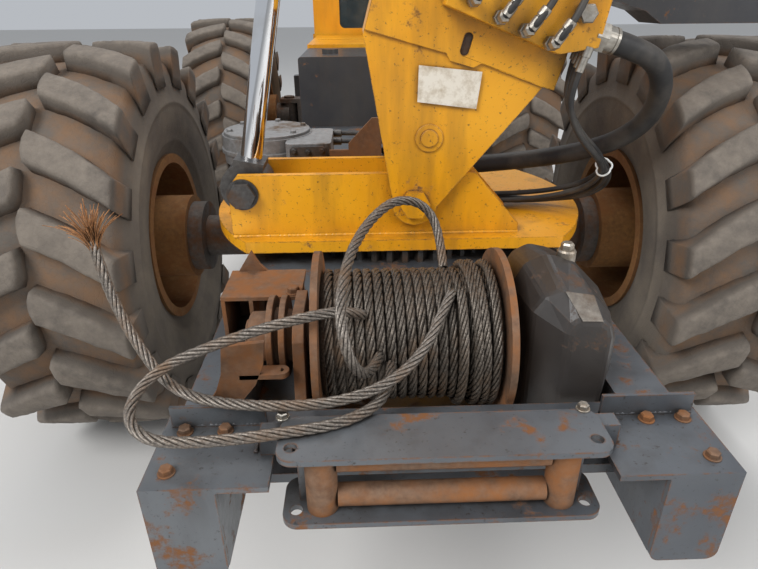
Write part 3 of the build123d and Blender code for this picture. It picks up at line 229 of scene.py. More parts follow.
def bare_metal(name, light, dark, rust, rusty, metal, rough):
    """Bare steel or casting with rust bloom, and painted shade in hollows from a darkened copy of its dark
    colour.
    """
    s = Surface(name)
    fine = s.noise(60, 6, 0.65)
    broad = s.noise(4.5, 6, 0.65)
    colour = s.mix(s.step(fine, 0.3, 0.7), light, dark)
    bloom = s.step(broad, 0.62 - 0.3 * rusty, 0.72 - 0.2 * rusty)
    bloom = s.times(bloom, s.step(s.noise(22, 5), 0.3, 0.6))
    colour = s.mix(bloom, colour, rust)
    # painted shade: a darker copy of the dark colour laid into hollows by occlusion
    colour = s.over(colour, tuple(c * 0.35 for c in dark), s.occlusion_shade(0.08), 0.7)
    return s.done(colour, s.plus(s.times(bloom, 0.35), rough), s.plus(fine, bloom), 0.3, metal=metal)


RUBBER = (0.082, 0.069, 0.058)
RUBBER_AGED = (0.14, 0.117, 0.095)
RUBBER_SCUFFED = (0.205, 0.172, 0.138)
RUBBER_PAINTED_SHADE = (0.045, 0.036, 0.03)
SOIL = (0.205, 0.108, 0.05)
WALL_DUST = (0.25, 0.205, 0.15)
# Radii in metres between which a tyre's zones fade in
LUG_TOPS = (0.765, 0.79)
GROOVE_OUTSIDE = (0.762, 0.738)
GROOVE_INSIDE = (0.66, 0.7)
TYRE_WALL = (0.7, 0.55)


def tyre_rubber(name, centre):
    """Dry cracked rubber, with soil between the lugs, dust on the walls and painted shade in creases and
    gaps.
    """
    s = Surface(name)
    s.place = s.place_after("SUBTRACT", centre)
    split = s.node("ShaderNodeSeparateXYZ", s.place)
    squares = s.plus(s.math("POWER", split.outputs["Y"], 2), s.math("POWER", split.outputs["Z"], 2))
    radius = s.math("SQRT", squares, 0)
    fine = s.noise(55, 7, 0.7)
    broad = s.noise(3.2, 5, 0.6)
    colour = s.mix(s.step(broad, 0.3, 0.7), RUBBER, RUBBER_AGED)
    scuff = s.times(s.step(radius, *LUG_TOPS), s.step(s.noise(16, 6, 0.7), 0.35, 0.65))
    colour = s.over(colour, RUBBER_SCUFFED, scuff, 0.75)
    between = s.times(s.step(radius, *GROOVE_OUTSIDE), s.step(radius, *GROOVE_INSIDE))
    soil = s.times(between, s.step(s.noise(8, 6, 0.7), 0.36, 0.62))
    colour = s.over(colour, SOIL, soil, 0.72)
    dust = s.times(s.step(radius, *TYRE_WALL), s.step(s.noise(5, 6, 0.65), 0.35, 0.7))
    colour = s.over(colour, WALL_DUST, dust, 0.6)
    # painted shade: near-black rubber laid into creases and between lugs by occlusion
    colour = s.over(colour, RUBBER_PAINTED_SHADE, s.occlusion_shade(0.07), 0.55)
    cracks = s.node("ShaderNodeTexVoronoi", feature="DISTANCE_TO_EDGE", Scale=46, Vector=s.place)
    crack_line = s.step(cracks.outputs["Distance"], 0, 0.06)
    height = s.plus(s.times(fine, 0.8), s.times(crack_line, 0.35))
    return s.done(colour, s.plus(s.times(fine, 0.2), 0.72), height, 0.55, 0.003)


def plain_rubber(name, base, dust):
    """Smooth rubber or vinyl with dust on its upper faces."""
    s = Surface(name)
    fine = s.noise(70, 5, 0.6)
    colour = s.mix(s.step(s.noise(9, 5), 0.42, 0.75), base, dust)
    colour = s.over(colour, dust, s.upward(), 0.35)
    return s.done(colour, s.plus(s.times(fine, 0.2), 0.5), fine, 0.15)


def clear_glass():
    s = Surface("cab_glass_pane")
    dust = s.noise(6, 5, 0.6)
    s.shader.inputs["Transmission Weight"].default_value = 0.75
    s.shader.inputs["IOR"].default_value = 1.2
    colour = s.mix(s.step(dust, 0.45, 0.8), (0.1, 0.14, 0.16), (0.28, 0.3, 0.28))
    return s.done(colour, s.times(s.step(dust, 0.4, 0.9), 0.25))


def chrome():
    s = Surface("chrome_rod")
    fine = s.noise(120, 4, 0.6, s.place_after("MULTIPLY", (1, 1, 0.05)))
    film = s.step(s.noise(5, 5), 0.5, 0.75)
    colour = s.over((0.82, 0.83, 0.85), (0.45, 0.4, 0.34), film, 0.5)
    return s.done(colour, s.plus(s.times(fine, 0.12), s.times(film, 0.2)), fine, 0.05, metal=1)


def lens():
    s = Surface("lamp_lens")
    colour = s.mix(s.step(s.noise(30, 4), 0.4, 0.7), (0.8, 0.82, 0.84), (0.6, 0.6, 0.58))
    return s.done(colour, 0.18, s.noise(90, 3), 0.2)


def rope_wire(name, light, dark, rust):
    """Greasy wire rope: broken streaks of bright, dark and brown wires, with painted shade between the
    strands.
    """
    s = Surface(name)
    streaks = s.noise(210, 3, 0.6)
    colour = s.mix(s.step(streaks, 0.35, 0.65), dark, light)
    bloom = s.step(s.noise(11, 6, 0.7), 0.48, 0.68)
    colour = s.over(colour, rust, bloom, 0.7)
    # painted shade: near-black colour laid between the strands by occlusion
    colour = s.over(colour, (0.02, 0.015, 0.012), s.occlusion_shade(0.012), 0.85)
    return s.done(colour, s.plus(s.times(bloom, 0.25), 0.42), streaks, 0.5, 0.0015, metal=0.55)


def flat_film(name, colour, stain):
    """A sticker, plastic or thin plate with stains."""
    s = Surface(name)
    colour = s.mix(s.step(s.noise(24, 6, 0.7), 0.45, 0.7), colour, stain)
    return s.done(colour, 0.5, s.noise(120, 4), 0.1)


YELLOW = (0.7, 0.285, 0.004)
YELLOW_FADED = (0.8, 0.375, 0.014)
GREASE_AND_SHADE = (0.04, 0.028, 0.018)
SCRATCH = (0.13, 0.06, 0.025)
RUST = (0.2, 0.085, 0.032)
yellow = worn_paint("yellow_paint_worn", YELLOW, YELLOW_FADED, GREASE_AND_SHADE, SCRATCH, wear=0.6, dirt_and_shade=0.95)
cab_yellow = worn_paint("cab_yellow_paint", YELLOW, YELLOW_FADED, GREASE_AND_SHADE, SCRATCH, wear=0.12, dirt_and_shade=0.35)
frame_grey = worn_paint(
    "frame_grey_paint", (0.065, 0.073, 0.086), (0.135, 0.145, 0.155), (0.032, 0.025, 0.02), RUST,
    wear=1.15, dirt_and_shade=1, metal=0.2,
)
dark_paint = worn_paint(
    "dark_paint", (0.03, 0.03, 0.034), (0.06, 0.058, 0.056), (0.09, 0.07, 0.05), RUST, wear=0.2, dirt_and_shade=0.5,
)
black_cast = worn_paint(
    "winch_case_paint", (0.026, 0.023, 0.022), (0.052, 0.043, 0.036), (0.015, 0.012, 0.01),
    (0.1, 0.055, 0.032), wear=0.7, dirt_and_shade=0.6, rough=(0.22, 0.55),
)
fibreglass = worn_paint(
    "fibreglass_yellow", (0.8, 0.62, 0.1), (0.72, 0.58, 0.2), (0.2, 0.17, 0.11), (0.45, 0.38, 0.2),
    wear=0.1, dirt_and_shade=0.25,
)
metals = {}
for name, *look in (
    # name, light, dark, rust, how rusty, metal, roughness
    ("cast_iron", (0.15, 0.13, 0.115), (0.075, 0.064, 0.056), RUST, 0.5, 0.4, 0.6),
    ("rusty_steel", (0.24, 0.15, 0.095), (0.12, 0.07, 0.045), (0.3, 0.125, 0.045), 0.9, 0.35, 0.62),
    # rim: orange darkened to half as painted shade, with rust bloom over it
    ("rim_orange_in_painted_shade", (0.3, 0.145, 0.04), (0.16, 0.072, 0.024), (0.22, 0.09, 0.028), 0.9, 0.1, 0.7),
    ("silver_paint_cast", (0.33, 0.33, 0.33), (0.2, 0.195, 0.19), (0.13, 0.09, 0.06), 0.35, 0.45, 0.5),
    ("dark_steel", (0.12, 0.115, 0.11), (0.06, 0.055, 0.052), (0.12, 0.065, 0.035), 0.35, 0.6, 0.45),
    ("bright_steel", (0.5, 0.49, 0.47), (0.33, 0.32, 0.3), (0.22, 0.14, 0.08), 0.15, 0.95, 0.28),
    ("fitting_steel", (0.46, 0.43, 0.38), (0.26, 0.235, 0.2), (0.27, 0.17, 0.09), 0.4, 0.85, 0.36),
    ("plate_alloy", (0.33, 0.3, 0.26), (0.16, 0.14, 0.12), (0.12, 0.075, 0.045), 0.5, 0.7, 0.45),
    ("rust_brown", (0.2, 0.11, 0.06), (0.12, 0.065, 0.035), (0.26, 0.12, 0.05), 0.8, 0.2, 0.7),
):
    metals[name] = bare_metal(name, *look)
rusty_steel = metals["rusty_steel"]
dark_steel = metals["dark_steel"]
fitting_steel = metals["fitting_steel"]
silver_cast = metals["silver_paint_cast"]
hose_black = plain_rubber("hose_rubber", (0.016, 0.015, 0.015), (0.075, 0.064, 0.052))
label_white = flat_film("blank_label_film", (0.72, 0.66, 0.56), (0.42, 0.33, 0.22))
tie_white = flat_film("tie_plastic", (0.8, 0.8, 0.78), (0.6, 0.58, 0.52))
rope_steel = rope_wire("rope_steel", (0.27, 0.235, 0.2), (0.1, 0.085, 0.072), (0.2, 0.115, 0.06))
drum_rope = rope_wire("drum_rope", (0.195, 0.165, 0.135), (0.062, 0.05, 0.04), (0.145, 0.085, 0.045))
rope_rust = rope_wire("rope_rust", (0.42, 0.2, 0.08), (0.22, 0.1, 0.045), (0.5, 0.24, 0.09))

finishes = [
    # material, the CAD nodes that it covers
    (yellow, "turret_base boom_leg boom_outer boom_inner valve_manifold saw_head lift_barrel"),
    (cab_yellow, "engine_hood cab_rear_wall cab_front_wall cab_left_wall cab_right_wall cab_roof cab_door"),
    (frame_grey, "frame_rails rear_deck centre_deck fairlead_frame cab_floor cab_step"),
    (dark_paint, "hydraulic_tank front_bumper exhaust_stack cab_console valve_box"),
    (metals["cast_iron"], "rear_axle front_axle knuckle_left knuckle_right engine_block"),
    (black_cast, "winch_gearcase"),
    (rusty_steel, "winch_drum fairlead_rollers winch_clutch"),
    (silver_cast, "swing_drive"),
    (dark_steel, "ring_gear turret_pins"),
    (metals["bright_steel"], "saw_blade"),
    (chrome(), "lift_rod"),
    (clear_glass(), "cab_glass door_glass"),
    (plain_rubber("seat_vinyl", (0.02, 0.02, 0.022), (0.05, 0.048, 0.045)), "cab_seat"),
    (fibreglass, "boom_tip"),
    (lens(), "work_lamps"),
]


def coat(name, material):
    """Give a CAD node this material all over."""
    mesh = nodes[name].data
    mesh.materials.clear()
    mesh.materials.append(material)


for material, names in finishes:
    for name in names.split():
        coat(name, material)
wheels = []
for end, ahead in (("rear", 0), ("front", WHEELBASE)):
    for hand, side in (("left", -1), ("right", 1)):
        name = f"{end}_{hand}"
        centre = at(side * HALF_TRACK, ahead, AXLE_HEIGHT)
        wheels.append((name, side, centre))
        coat(f"tyre_{name}", tyre_rubber(f"tyre_rubber_{name}", centre))
        coat(f"rim_{name}", metals["rim_orange_in_painted_shade"])


# Small forms are gathered in a mesh
def square_to(direction):
    """Two unit vectors square to a direction and to each other."""
    aid = Vector((0, 0, 1)) if abs(direction.z) < 0.9 else Vector((1, 0, 0))
    first = direction.cross(aid).normalized()
    return first, direction.cross(first).normalized()


class Build:
    """The vertices and faces of one piece."""

    def __init__(self):
        self.vertices = []
        self.faces = []

    def loops(self, rings, caps=True):
        """Join rings of equal count into a skin."""
        count = len(rings[0])
        start = len(self.vertices)
        for ring in rings:
            self.vertices.extend(ring)
        for i in range(len(rings) - 1):
            for j in range(count):
                low = start + i * count
                high = low + count
                after = (j + 1) % count
                self.faces.append((low + j, low + after, high + after, high + j))
        if caps:
            last = start + (len(rings) - 1) * count
            self.faces.append(tuple(start + count - 1 - j for j in range(count)))
            self.faces.append(tuple(last + j for j in range(count)))

    def lathe(self, foot, direction, profile, sides, turn=0):
        """Turn a profile round a direction: distance along it and radius, in millimetres."""
        direction = Vector(direction).normalized()
        first, second = square_to(direction)
        rings = []
        for along, radius in profile:
            middle = foot + direction * (along / 1000)
            ring = []
            for j in range(sides):
                angle = turn + 2 * pi * j / sides
                ring.append(middle + (first * cos(angle) + second * sin(angle)) * (radius / 1000))
            rings.append(ring)
        self.loops(rings)

    def hex_bolt(self, foot, direction, corners):
        """A bolt head with its washer, which stand on a face; corners is its width over them."""
        size = corners / 2
        self.lathe(foot, direction, [(-1, size * 1.25), (2.2, size * 1.25), (3, size * 1.18)], 20)
        turn = random.uniform(0, pi)
        rise = [(2, size), (2 + size * 0.75, size), (2 + size * 0.95, size * 0.82)]
        self.lathe(foot, direction, rise, 6, turn)

    def tube(self, points, radius, sides, wobble=0):
        """A round bar along points."""
        self.loops(rings_along(points, radius, sides, wobble))

    def plate(self, corners, thick, rim=0):
        """A thin sheet over four corners given in order; a rim raises what lies inside it."""
        normal = (corners[1] - corners[0]).cross(corners[3] - corners[0]).normalized()
        middle = sum(corners, Vector()) / 4
        high = [c + normal * thick for c in corners]
        inner = [middle + (c - middle) * (1 - rim) + normal * thick * 1.25 for c in corners]
        self.loops([corners, high, inner] if rim else [corners, high])

    def finish(self, name, material, body, smooth=False, bevel=0):
        """Make the piece's object, with one material, and have it ride on a body if one is named."""
        mesh = bpy.data.meshes.new(name)
        mesh.from_pydata(self.vertices, [], self.faces)
        mesh.validate()
        outward = bmesh.new()
        outward.from_mesh(mesh)
        bmesh.ops.recalc_face_normals(outward, faces=outward.faces)
        outward.to_mesh(mesh)
        outward.free()
        mesh.materials.append(material)
        mesh.polygons.foreach_set("use_smooth", [smooth] * len(mesh.polygons))
        made = placed(name, mesh)
        if bevel:
            soften = made.modifiers.new("soft_edges", "BEVEL")
            soften.width = bevel
            soften.segments = 2
        if body:
            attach(made, body)
        return made


def rings_along(points, radius, sides, wobble=0):
    """Rings square to a line of points, each turned no more than the line turns."""
    rings = []
    across = None
    for i, point in enumerate(points):
        before = points[max(i - 1, 0)]
        after = points[min(i + 1, len(points) - 1)]
        along = (after - before).normalized()
        if across is None:
            across = square_to(along)[0]
        across = (across - along * across.dot(along)).normalized()
        beside = along.cross(across)
        size = radius * (1 + wobble * random.uniform(-1, 1))
        ring = []
        for j in range(sides):
            angle = 2 * pi * j / sides
            ring.append(point + (across * cos(angle) + beside * sin(angle)) * size)
        rings.append(ring)
    return rings


# Cords: smooth lines that the routes' points control
def curve_mesh(lines, kind, **settings):
    """The mesh that Blender makes of a curve with one spline for each line of points."""
    curve = bpy.data.curves.new("guide", "CURVE")
    for key, value in settings.items():
        setattr(curve, key, value)
    for line in lines:
        spline = curve.splines.new(kind)
        spline.points.add(len(line) - 1)
        for point, place in zip(spline.points, line):
            point.co = (*place, 1)
        spline.order_u = 3
        spline.use_endpoint_u = True
        spline.use_cyclic_u = kind == "POLY"
    guide = bpy.data.objects.new("guide", curve)
    mesh = bpy.data.meshes.new_from_object(guide)
    bpy.data.objects.remove(guide)
    return mesh


def smooth_line(route, span):
    """Points of a smooth curve that has a route's points as its control points."""
    mesh = curve_mesh([[mm(*place) for place in route]], "NURBS", dimensions="3D", resolution_u=span)
    points = [v.co.copy() for v in mesh.vertices]
    bpy.data.meshes.remove(mesh)
    return points


# Wire rope, in metres: strands overlap a little, round a core
ROPE_RADIUS = 0.011
ROPE_STEP = 0.006
STRANDS = 6
STRAND_LAY = 0.135
STRAND_OVERLAP = 1.04
CORE_SHARE = 0.5


def evenly(points, gap):
    """The same line with points at an even gap."""
    spaced = [points[0].copy()]
    left = gap
    for start, end in zip(points, points[1:]):
        run = (end - start).length
        while left <= run:
            spaced.append(start.lerp(end, left / run))
            left += gap
        left -= run
    spaced.append(points[-1].copy())
    return spaced


def strands_on(build, line, count=STRANDS, sides=6):
    """Strands laid round a line, with a core that fills the middle."""
    rings = rings_along(line, ROPE_RADIUS, 2)
    strand = ROPE_RADIUS * sin(pi / count) / (1 + sin(pi / count))
    travelled = 0
    centres = [[] for _ in range(count)]
    for i, (point, ring) in enumerate(zip(line, rings)):
        if i:
            travelled += (point - line[i - 1]).length
        across = (ring[0] - point).normalized()
        along = (line[min(i + 1, len(line) - 1)] - line[max(i - 1, 0)]).normalized()
        beside = along.cross(across)
        for k in range(count):
            angle = 2 * pi * (k / count + travelled / STRAND_LAY)
            centres[k].append(point + (across * cos(angle) + beside * sin(angle)) * (ROPE_RADIUS - strand))
    for centre_line in centres:
        build.tube(centre_line, strand * STRAND_OVERLAP, sides)
    build.tube(line, ROPE_RADIUS * CORE_SHARE, sides)


rope_free_route = [
    (50, -1322, 1172), (20, -1376, 1146), (-14, -1436, 1108), (-80, -1500, 1074), (-188, -1536, 1052),
    (-320, -1536, 1047), (-451, -1500, 1036), (-532, -1452, 1040), (-588, -1402, 1078), (-635, -1360, 1138),
    (-672, -1322, 1214), (-693, -1292, 1290),
]
rope_loop_route = [
    (-140, -1359.2, 1141.1), (-176, -1396, 1172), (-228, -1422, 1180), (-304, -1434, 1168),
    (-386, -1438, 1144), (-466, -1444, 1116), (-534, -1456, 1090), (-578, -1498, 1064), (-578, -1560, 1046),
    (-532, -1606, 1037), (-460, -1614, 1034), (-370, -1606, 1033.3), (-279, -1592, 1033.3),
    (-190, -1574, 1033.3), (-120, -1528, 1034), (-92, -1470, 1040), (-86, -1400.4, 1045),
]
rope_arch_route = [
    (-108, -1397.2, 1064.4), (-126, -1464, 1070), (-152, -1516, 1102), (-174, -1532, 1164),
    (-184, -1492, 1220), (-178, -1408, 1252), (-158, -1304, 1276), (-118, -1208, 1300), (-62, -1134, 1318),
    (6, -1094, 1296), (48, -1104, 1234), (50, -1178.6, 1163.4),
]
ropes = [
    # name, route, true length, far end
    ("rope_free", rope_free_route, 1.064, "bare"),
    ("rope_loop", rope_loop_route, 1.186, "object"),
    ("rope_arch", rope_arch_route, 0.912, "object"),
]

WIRES = 110
LONG_WIRES = 10
WIRE_STEPS = 6


def frayed_wires(tip, direction):
    """Loose wires that spread from the rope's cut end."""
    build = Build()
    first, second = square_to(direction)
    for i in range(WIRES):
        angle = random.uniform(0, 2 * pi)
        out = first * cos(angle) + second * sin(angle)
        reach = random.uniform(0.09, 0.13) if i < LONG_WIRES else random.uniform(0.045, 0.1)
        spread = random.uniform(0.15, 0.75)
        point = tip - direction * 0.02 + out * random.uniform(0.002, 0.009)
        line = [point]
        heading = direction.copy()
        curl = first * random.uniform(-1, 1) + second * random.uniform(-1, 1)
        for _ in range(WIRE_STEPS):
            heading = (heading + out * spread * 0.24 + curl * 0.14).normalized()
            point = point + heading * reach / WIRE_STEPS
            line.append(point)
        build.tube(line, random.uniform(0.0007, 0.0012), 4)
    return build.finish("rope_frayed_wires", rope_rust, "chassis", True)


for name, route, length, far_end in ropes:
    line = evenly(smooth_line(route, 10), ROPE_STEP)
    build = Build()
    strands_on(build, line)
    rope = build.finish(name + "_strands", rope_steel, "chassis", True)
    if far_end == "bare":
        frayed_wires(line[-1], (line[-1] - line[-4]).normalized())

# Rope wound on the drum: one helix under, and a short upper layer at the right
DRUM_LEFT = -235
DRUM_RIGHT = 160
PACK_RADIUS = 142
WINDING_STEP = 9
windings = [
    # name, start, end, turns, radius, angle at the start, straying to the sides, strands
    ("drum_wraps", DRUM_LEFT + 11, DRUM_RIGHT - 11, 17, PACK_RADIUS, 0, 0, 5),
    ("drum_upper_wraps", 66, DRUM_RIGHT - 10, 3.4, PACK_RADIUS + 17, 2, 6, 6),
]


def winding(start_x, end_x, turns, radius, start_angle, stray):
    line = []
    steps = int(turns * 2 * pi * radius / WINDING_STEP)
    for i in range(steps + 1):
        share = i / steps
        angle = start_angle + 2 * pi * turns * share
        x = start_x + (end_x - start_x) * share + stray * sin(angle * 0.7 + 1.3)
        line.append(mm(x, WINCH_Y + radius * cos(angle), WINCH_Z + radius * sin(angle)))
    return line


for name, *course, strands in windings:
    build = Build()
    strands_on(build, winding(*course), count=strands, sides=5)
    build.finish(name, drum_rope, "chassis", True)

# Hoses between the boom leg and the swivel; those that cross the boom's pivot ride on no body
main_hose_route = [
    (515.8, -712, 1636.7), (656.4, -712, 1597.2), (735, -672, 1545), (780, -612, 1460), (782, -545, 1372),
    (735, -478, 1300), (655, -410, 1250), (555, -355, 1216), (440, -312, 1192), (320, -288, 1176),
    (200, -276, 1165), (98, -256, 1161),
]
valve_hose_route = [
    (477.6, -742, 1574.7), (453.3, -742, 1488.1), (470, -728, 1420), (520, -705, 1350), (590, -668, 1290),
    (640, -612, 1235), (650, -545, 1180), (618, -482, 1128), (545, -432, 1092), (450, -402, 1072),
    (350, -388, 1063), (255, -372, 1061), (172, -348, 1061), (104, -312, 1061),
]
VALVE_HOSE_STEP = (0, 20, 9)
VALVE_HOSE_FAN = [(0, 0), (26, -30), (9, -4), (20, -22)]
drive_hose_routes = [
    [(-238, -4, 1238), (-158, -4, 1238), (-104, -32, 1236), (-70, -86, 1234), (-46, -142, 1233)],
    [(-238, -52, 1216), (-164, -52, 1216), (-118, -78, 1215), (-92, -124, 1214), (-68, -170, 1213)],
]
MAIN_HOSE_RADIUS = 0.032
HOSE_RADIUS = 0.009
PORT_OVERLAP = 0.012


def hose(name, route, radius, crossing):
    """A black hose that ends in a port of the swivel; one that crosses the boom's pivot rides on no body,
    the others on the turret.
    """
    line = smooth_line(route, 12)
    build = Build()
    build.tube(line, radius, 20)
    made = build.finish(name, hose_black, None if crossing else "turret", True)
    if crossing:
        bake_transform(made)
    heading = (line[-1] - line[-2]).normalized()
    bore = radius * 1000
    port_profile = [(0, bore + 1), (1, bore + 4), (52, bore + 4), (53, bore)]
    port = Build()
    port.lathe(line[-1] - heading * PORT_OVERLAP, heading, port_profile, 20)
    port_piece = port.finish(name + "_port", dark_steel, "turret")
    return line


hose("main_hose_rubber", main_hose_route, MAIN_HOSE_RADIUS, True)
valve_hose_lines = []
for step, (fan_x, fan_z) in enumerate(VALVE_HOSE_FAN):
    route = []
    for i, point in enumerate(valve_hose_route):
        fan = step * sin(pi * i / (len(valve_hose_route) - 1)) ** 2
        x, y, z = (c + step * d for c, d in zip(point, VALVE_HOSE_STEP))
        route.append((x + fan * fan_x, y, z + fan * fan_z))
    valve_hose_lines.append(hose(f"valve_hose_{step + 1}", route, HOSE_RADIUS, True))
for i, route in enumerate(drive_hose_routes):
    hose(f"drive_hose_{i + 1}", route, HOSE_RADIUS, False)

# Tyres: rounded carcass with worn lugs that wrap over the shoulders, in place of the plain ones
LUG_COUNT = 19
LUG_PITCH = 2 * pi / LUG_COUNT
FIRST_LUG = pi - LUG_PITCH / 4
CARCASS_STEPS = 6 * LUG_COUNT
carcass_profile = [
    # offset from the middle, radius; one half from the bead to the crown, in metres
    (0.2398, 0.331), (0.2402, 0.359), (0.25, 0.378), (0.264, 0.406), (0.27, 0.414), (0.27, 0.424),
    (0.279, 0.45), (0.287, 0.495), (0.29, 0.54), (0.2905, 0.556), (0.2925, 0.56), (0.2925, 0.57),
    (0.289, 0.574), (0.2855, 0.62), (0.278, 0.665), (0.266, 0.7), (0.248, 0.72), (0.17, 0.729),
    (0.09, 0.733), (0, 0.734),
]
lug_section = [
    # across as a share of the half width, added width, height as a share from root to top
    (-1, -0.018, 0), (-1, -0.008, 0.55), (-1, -0.003, 0.86), (-1, 0.004, 0.97), (-0.72, 0, 1),
    (0, 0, 1.006), (0.72, 0, 1), (1, -0.004, 0.97), (1, 0.003, 0.86), (1, 0.008, 0.55), (1, 0.018, 0),
]
LUG_STATIONS = 28
# Along a lug: it runs out from its start to the shoulder, and the last share of it drops down the wall
LUG_START = 0.006
SHOULDER = 0.288
WALL = 0.2925
DROP_SHARE = 0.12
LUG_LEAD = 0.074
LUG_SLANT = 0.169
LUG_BOW = 0.014
LUG_HALF_WIDTH = 0.05
LUG_FLARE = 0.006
LUG_NOSE = 0.55
LUG_ROOT = 0.716
LUG_TOP = 0.7982
ROOT_FALL = 0.075
ROOT_FALL_START = 0.2
TREAD_RADIUS = 0.79
WEAR_GRAIN = 16
DEEP_WEAR = 0.006
FINE_WEAR = 0.0035


def on_tyre(centre, side, offset, around, radius):
    """A point at an offset from the middle, an angle round and a radius."""
    return centre + Vector((side * offset, -radius * sin(around), radius * cos(around)))


def lug_loops(build, centre, side, angle, seed):
    """One bent lug from the crown to below the shoulder."""
    rings = []
    for i in range(LUG_STATIONS + 1):
        share = i / LUG_STATIONS
        run = min(1, share / (1 - DROP_SHARE))
        drop = max(0, (share - 1 + DROP_SHARE) / DROP_SHARE)
        nose = min(1, LUG_NOSE + share / 0.06)
        offset = LUG_START + (SHOULDER - LUG_START) * run
        out = offset / SHOULDER
        lead = LUG_LEAD - LUG_SLANT * out + LUG_BOW * sin(pi * out)
        width = LUG_HALF_WIDTH + LUG_FLARE * (1 - out)
        fall = max(0, (offset - ROOT_FALL_START) / (SHOULDER - ROOT_FALL_START))
        root = LUG_ROOT - ROOT_FALL * fall - 0.012 * drop
        top = LUG_TOP - 0.006 * out ** 3 - 0.082 * drop ** 1.5 - 0.016 * (1 - nose)
        place = min(offset + 0.0035 * drop, WALL)
        ring = []
        for across, more, height in lug_section:
            distance = lead + across * width * nose + more
            radius = root + (top - root) * height
            spot = Vector((offset, distance, seed)) * WEAR_GRAIN
            wear = max(0, noise.noise(spot) * DEEP_WEAR) + max(0, noise.noise(spot * 3.1) * FINE_WEAR)
            skew = noise.noise(spot * 1.7 + Vector((3, 1, 7))) * FINE_WEAR
            turn = angle - (distance + skew) / TREAD_RADIUS
            ring.append(on_tyre(centre, side, place, turn, radius - wear))
        rings.append(ring)
    build.loops(rings)


def fine_tyre(name, side, centre):
    """One wheel's tyre: a carcass with slight lumps, and a row of lugs on each half."""
    build = Build()
    profile = [(-offset, radius) for offset, radius in carcass_profile]
    profile += carcass_profile[-2::-1]
    rings = []
    for offset, radius in profile:
        ring = []
        for j in range(CARCASS_STEPS):
            angle = 2 * pi * j / CARCASS_STEPS
            spot = Vector((offset * 9, radius * cos(angle) * 7, radius * sin(angle) * 7))
            lump = noise.noise(spot) * 0.0025 if radius > 0.36 else 0
            ring.append(on_tyre(centre, side, offset, angle, radius + lump))
        rings.append(ring)
    rings.append(rings[0])
    build.loops(rings, caps=False)
    for i in range(LUG_COUNT):
        lug_loops(build, centre, side, FIRST_LUG + i * LUG_PITCH, i * 1.7)
        lug_loops(build, centre, -side, FIRST_LUG + (i + 0.5) * LUG_PITCH, 40 + i * 1.7)
    made = build.finish(f"tyre_fine_{name}", nodes[f"tyre_{name}"].data.materials[0], None, True)
    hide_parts(f"tyre_{name}")
    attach(made, f"wheel_{name}")


for wheel in wheels:
    fine_tyre(*wheel)

# Bolt heads: places in millimetres on the faces that they hold
bolt_rows = [
    # name, body, material, direction, width over corners, places
    ("deck_bolts", "chassis", rusty_steel, UP, 26, [
        (-500, -1500, 962), (-420, -1500, 962), (430, -1500, 962), (505, -1500, 962), (-505, -1610, 962),
        (505, -1610, 962),
    ]),
    ("fairlead_bolts", "chassis", fitting_steel, UP, 22, [(-298, -1535, 1022), (278, -1535, 1022)]),
    ("motor_plate_bolts", "turret", dark_steel, REARWARD, 18, [(-333, -282, 1228), (-333, -282, 1144)]),
]
for name, body, material, direction, corners, places in bolt_rows:
    build = Build()
    for place in places:
        build.hex_bolt(mm(*place), direction, corners)
    build.finish(name, material, body)

# Weld beads along the seams of the turret and the deck
WELD_STEP = 0.0035
WELD_WOBBLE = 0.22
weld_rows = [
    # body, material, height, radius in metres, then each seam's two ends, across and forward
    ("turret", yellow, 1039, 0.006, [(-560, -637), (376, -637)], [(-618, -404), (376, -404)]),
    ("chassis", frame_grey, 964, 0.005, [(-350, -1525), (-350, -1565)], [(343, -1525), (343, -1565)],
     [(-530, -1480), (-340, -1480)], [(340, -1480), (530, -1480)]),
]
bead = 0
for body, material, height, radius, *seams in weld_rows:
    for ends in seams:
        start, end = (mm(*point, height) for point in ends)
        count = max(8, int((end - start).length / WELD_STEP))
        build = Build()
        build.tube([start.lerp(end, j / count) for j in range(count + 1)], radius, 8, WELD_WOBBLE)
        bead += 1
        build.finish(f"weld_bead_{bead}", material, body, True)


# Forms that the plain solids lack, with outlines in millimetres, across first. The next three functions
# turn an outline's two numbers and a distance square to it into a point.
def upright(x, z, y):
    return mm(x, y, z)


def lengthways(y, z, x):
    return mm(x, y, z)


def on_leg(across, up, out):
    """Counted from the boom leg's pivot: across to the left, up the leg and out to the rear."""
    x = PIVOT_X - across * cos(LEG_LEAN) + up * sin(LEG_LEAN)
    z = PIVOT_Z + across * sin(LEG_LEAN) + up * cos(LEG_LEAN)
    return mm(x, BOOM_Y - out, z)


def prism(build, outline, place, low, high):
    """Fill an outline between two distances."""
    build.loops([[place(x, y, out) for x, y in outline] for out in (low, high)])


def oblong(x, y, width, height):
    return [(x + i * width / 2, y + j * height / 2) for i, j in ((-1, -1), (1, -1), (1, 1), (-1, 1))]


def rounded(x, y, width, height, radius, steps=5):
    """An oblong with round corners."""
    outline = []
    for k, (i, j) in enumerate(((1, 1), (-1, 1), (-1, -1), (1, -1))):
        for step in range(steps + 1):
            angle = pi / 2 * (k + step / steps)
            corner_x = x + i * (width / 2 - radius) + radius * cos(angle)
            outline.append((corner_x, y + j * (height / 2 - radius) + radius * sin(angle)))
    return outline


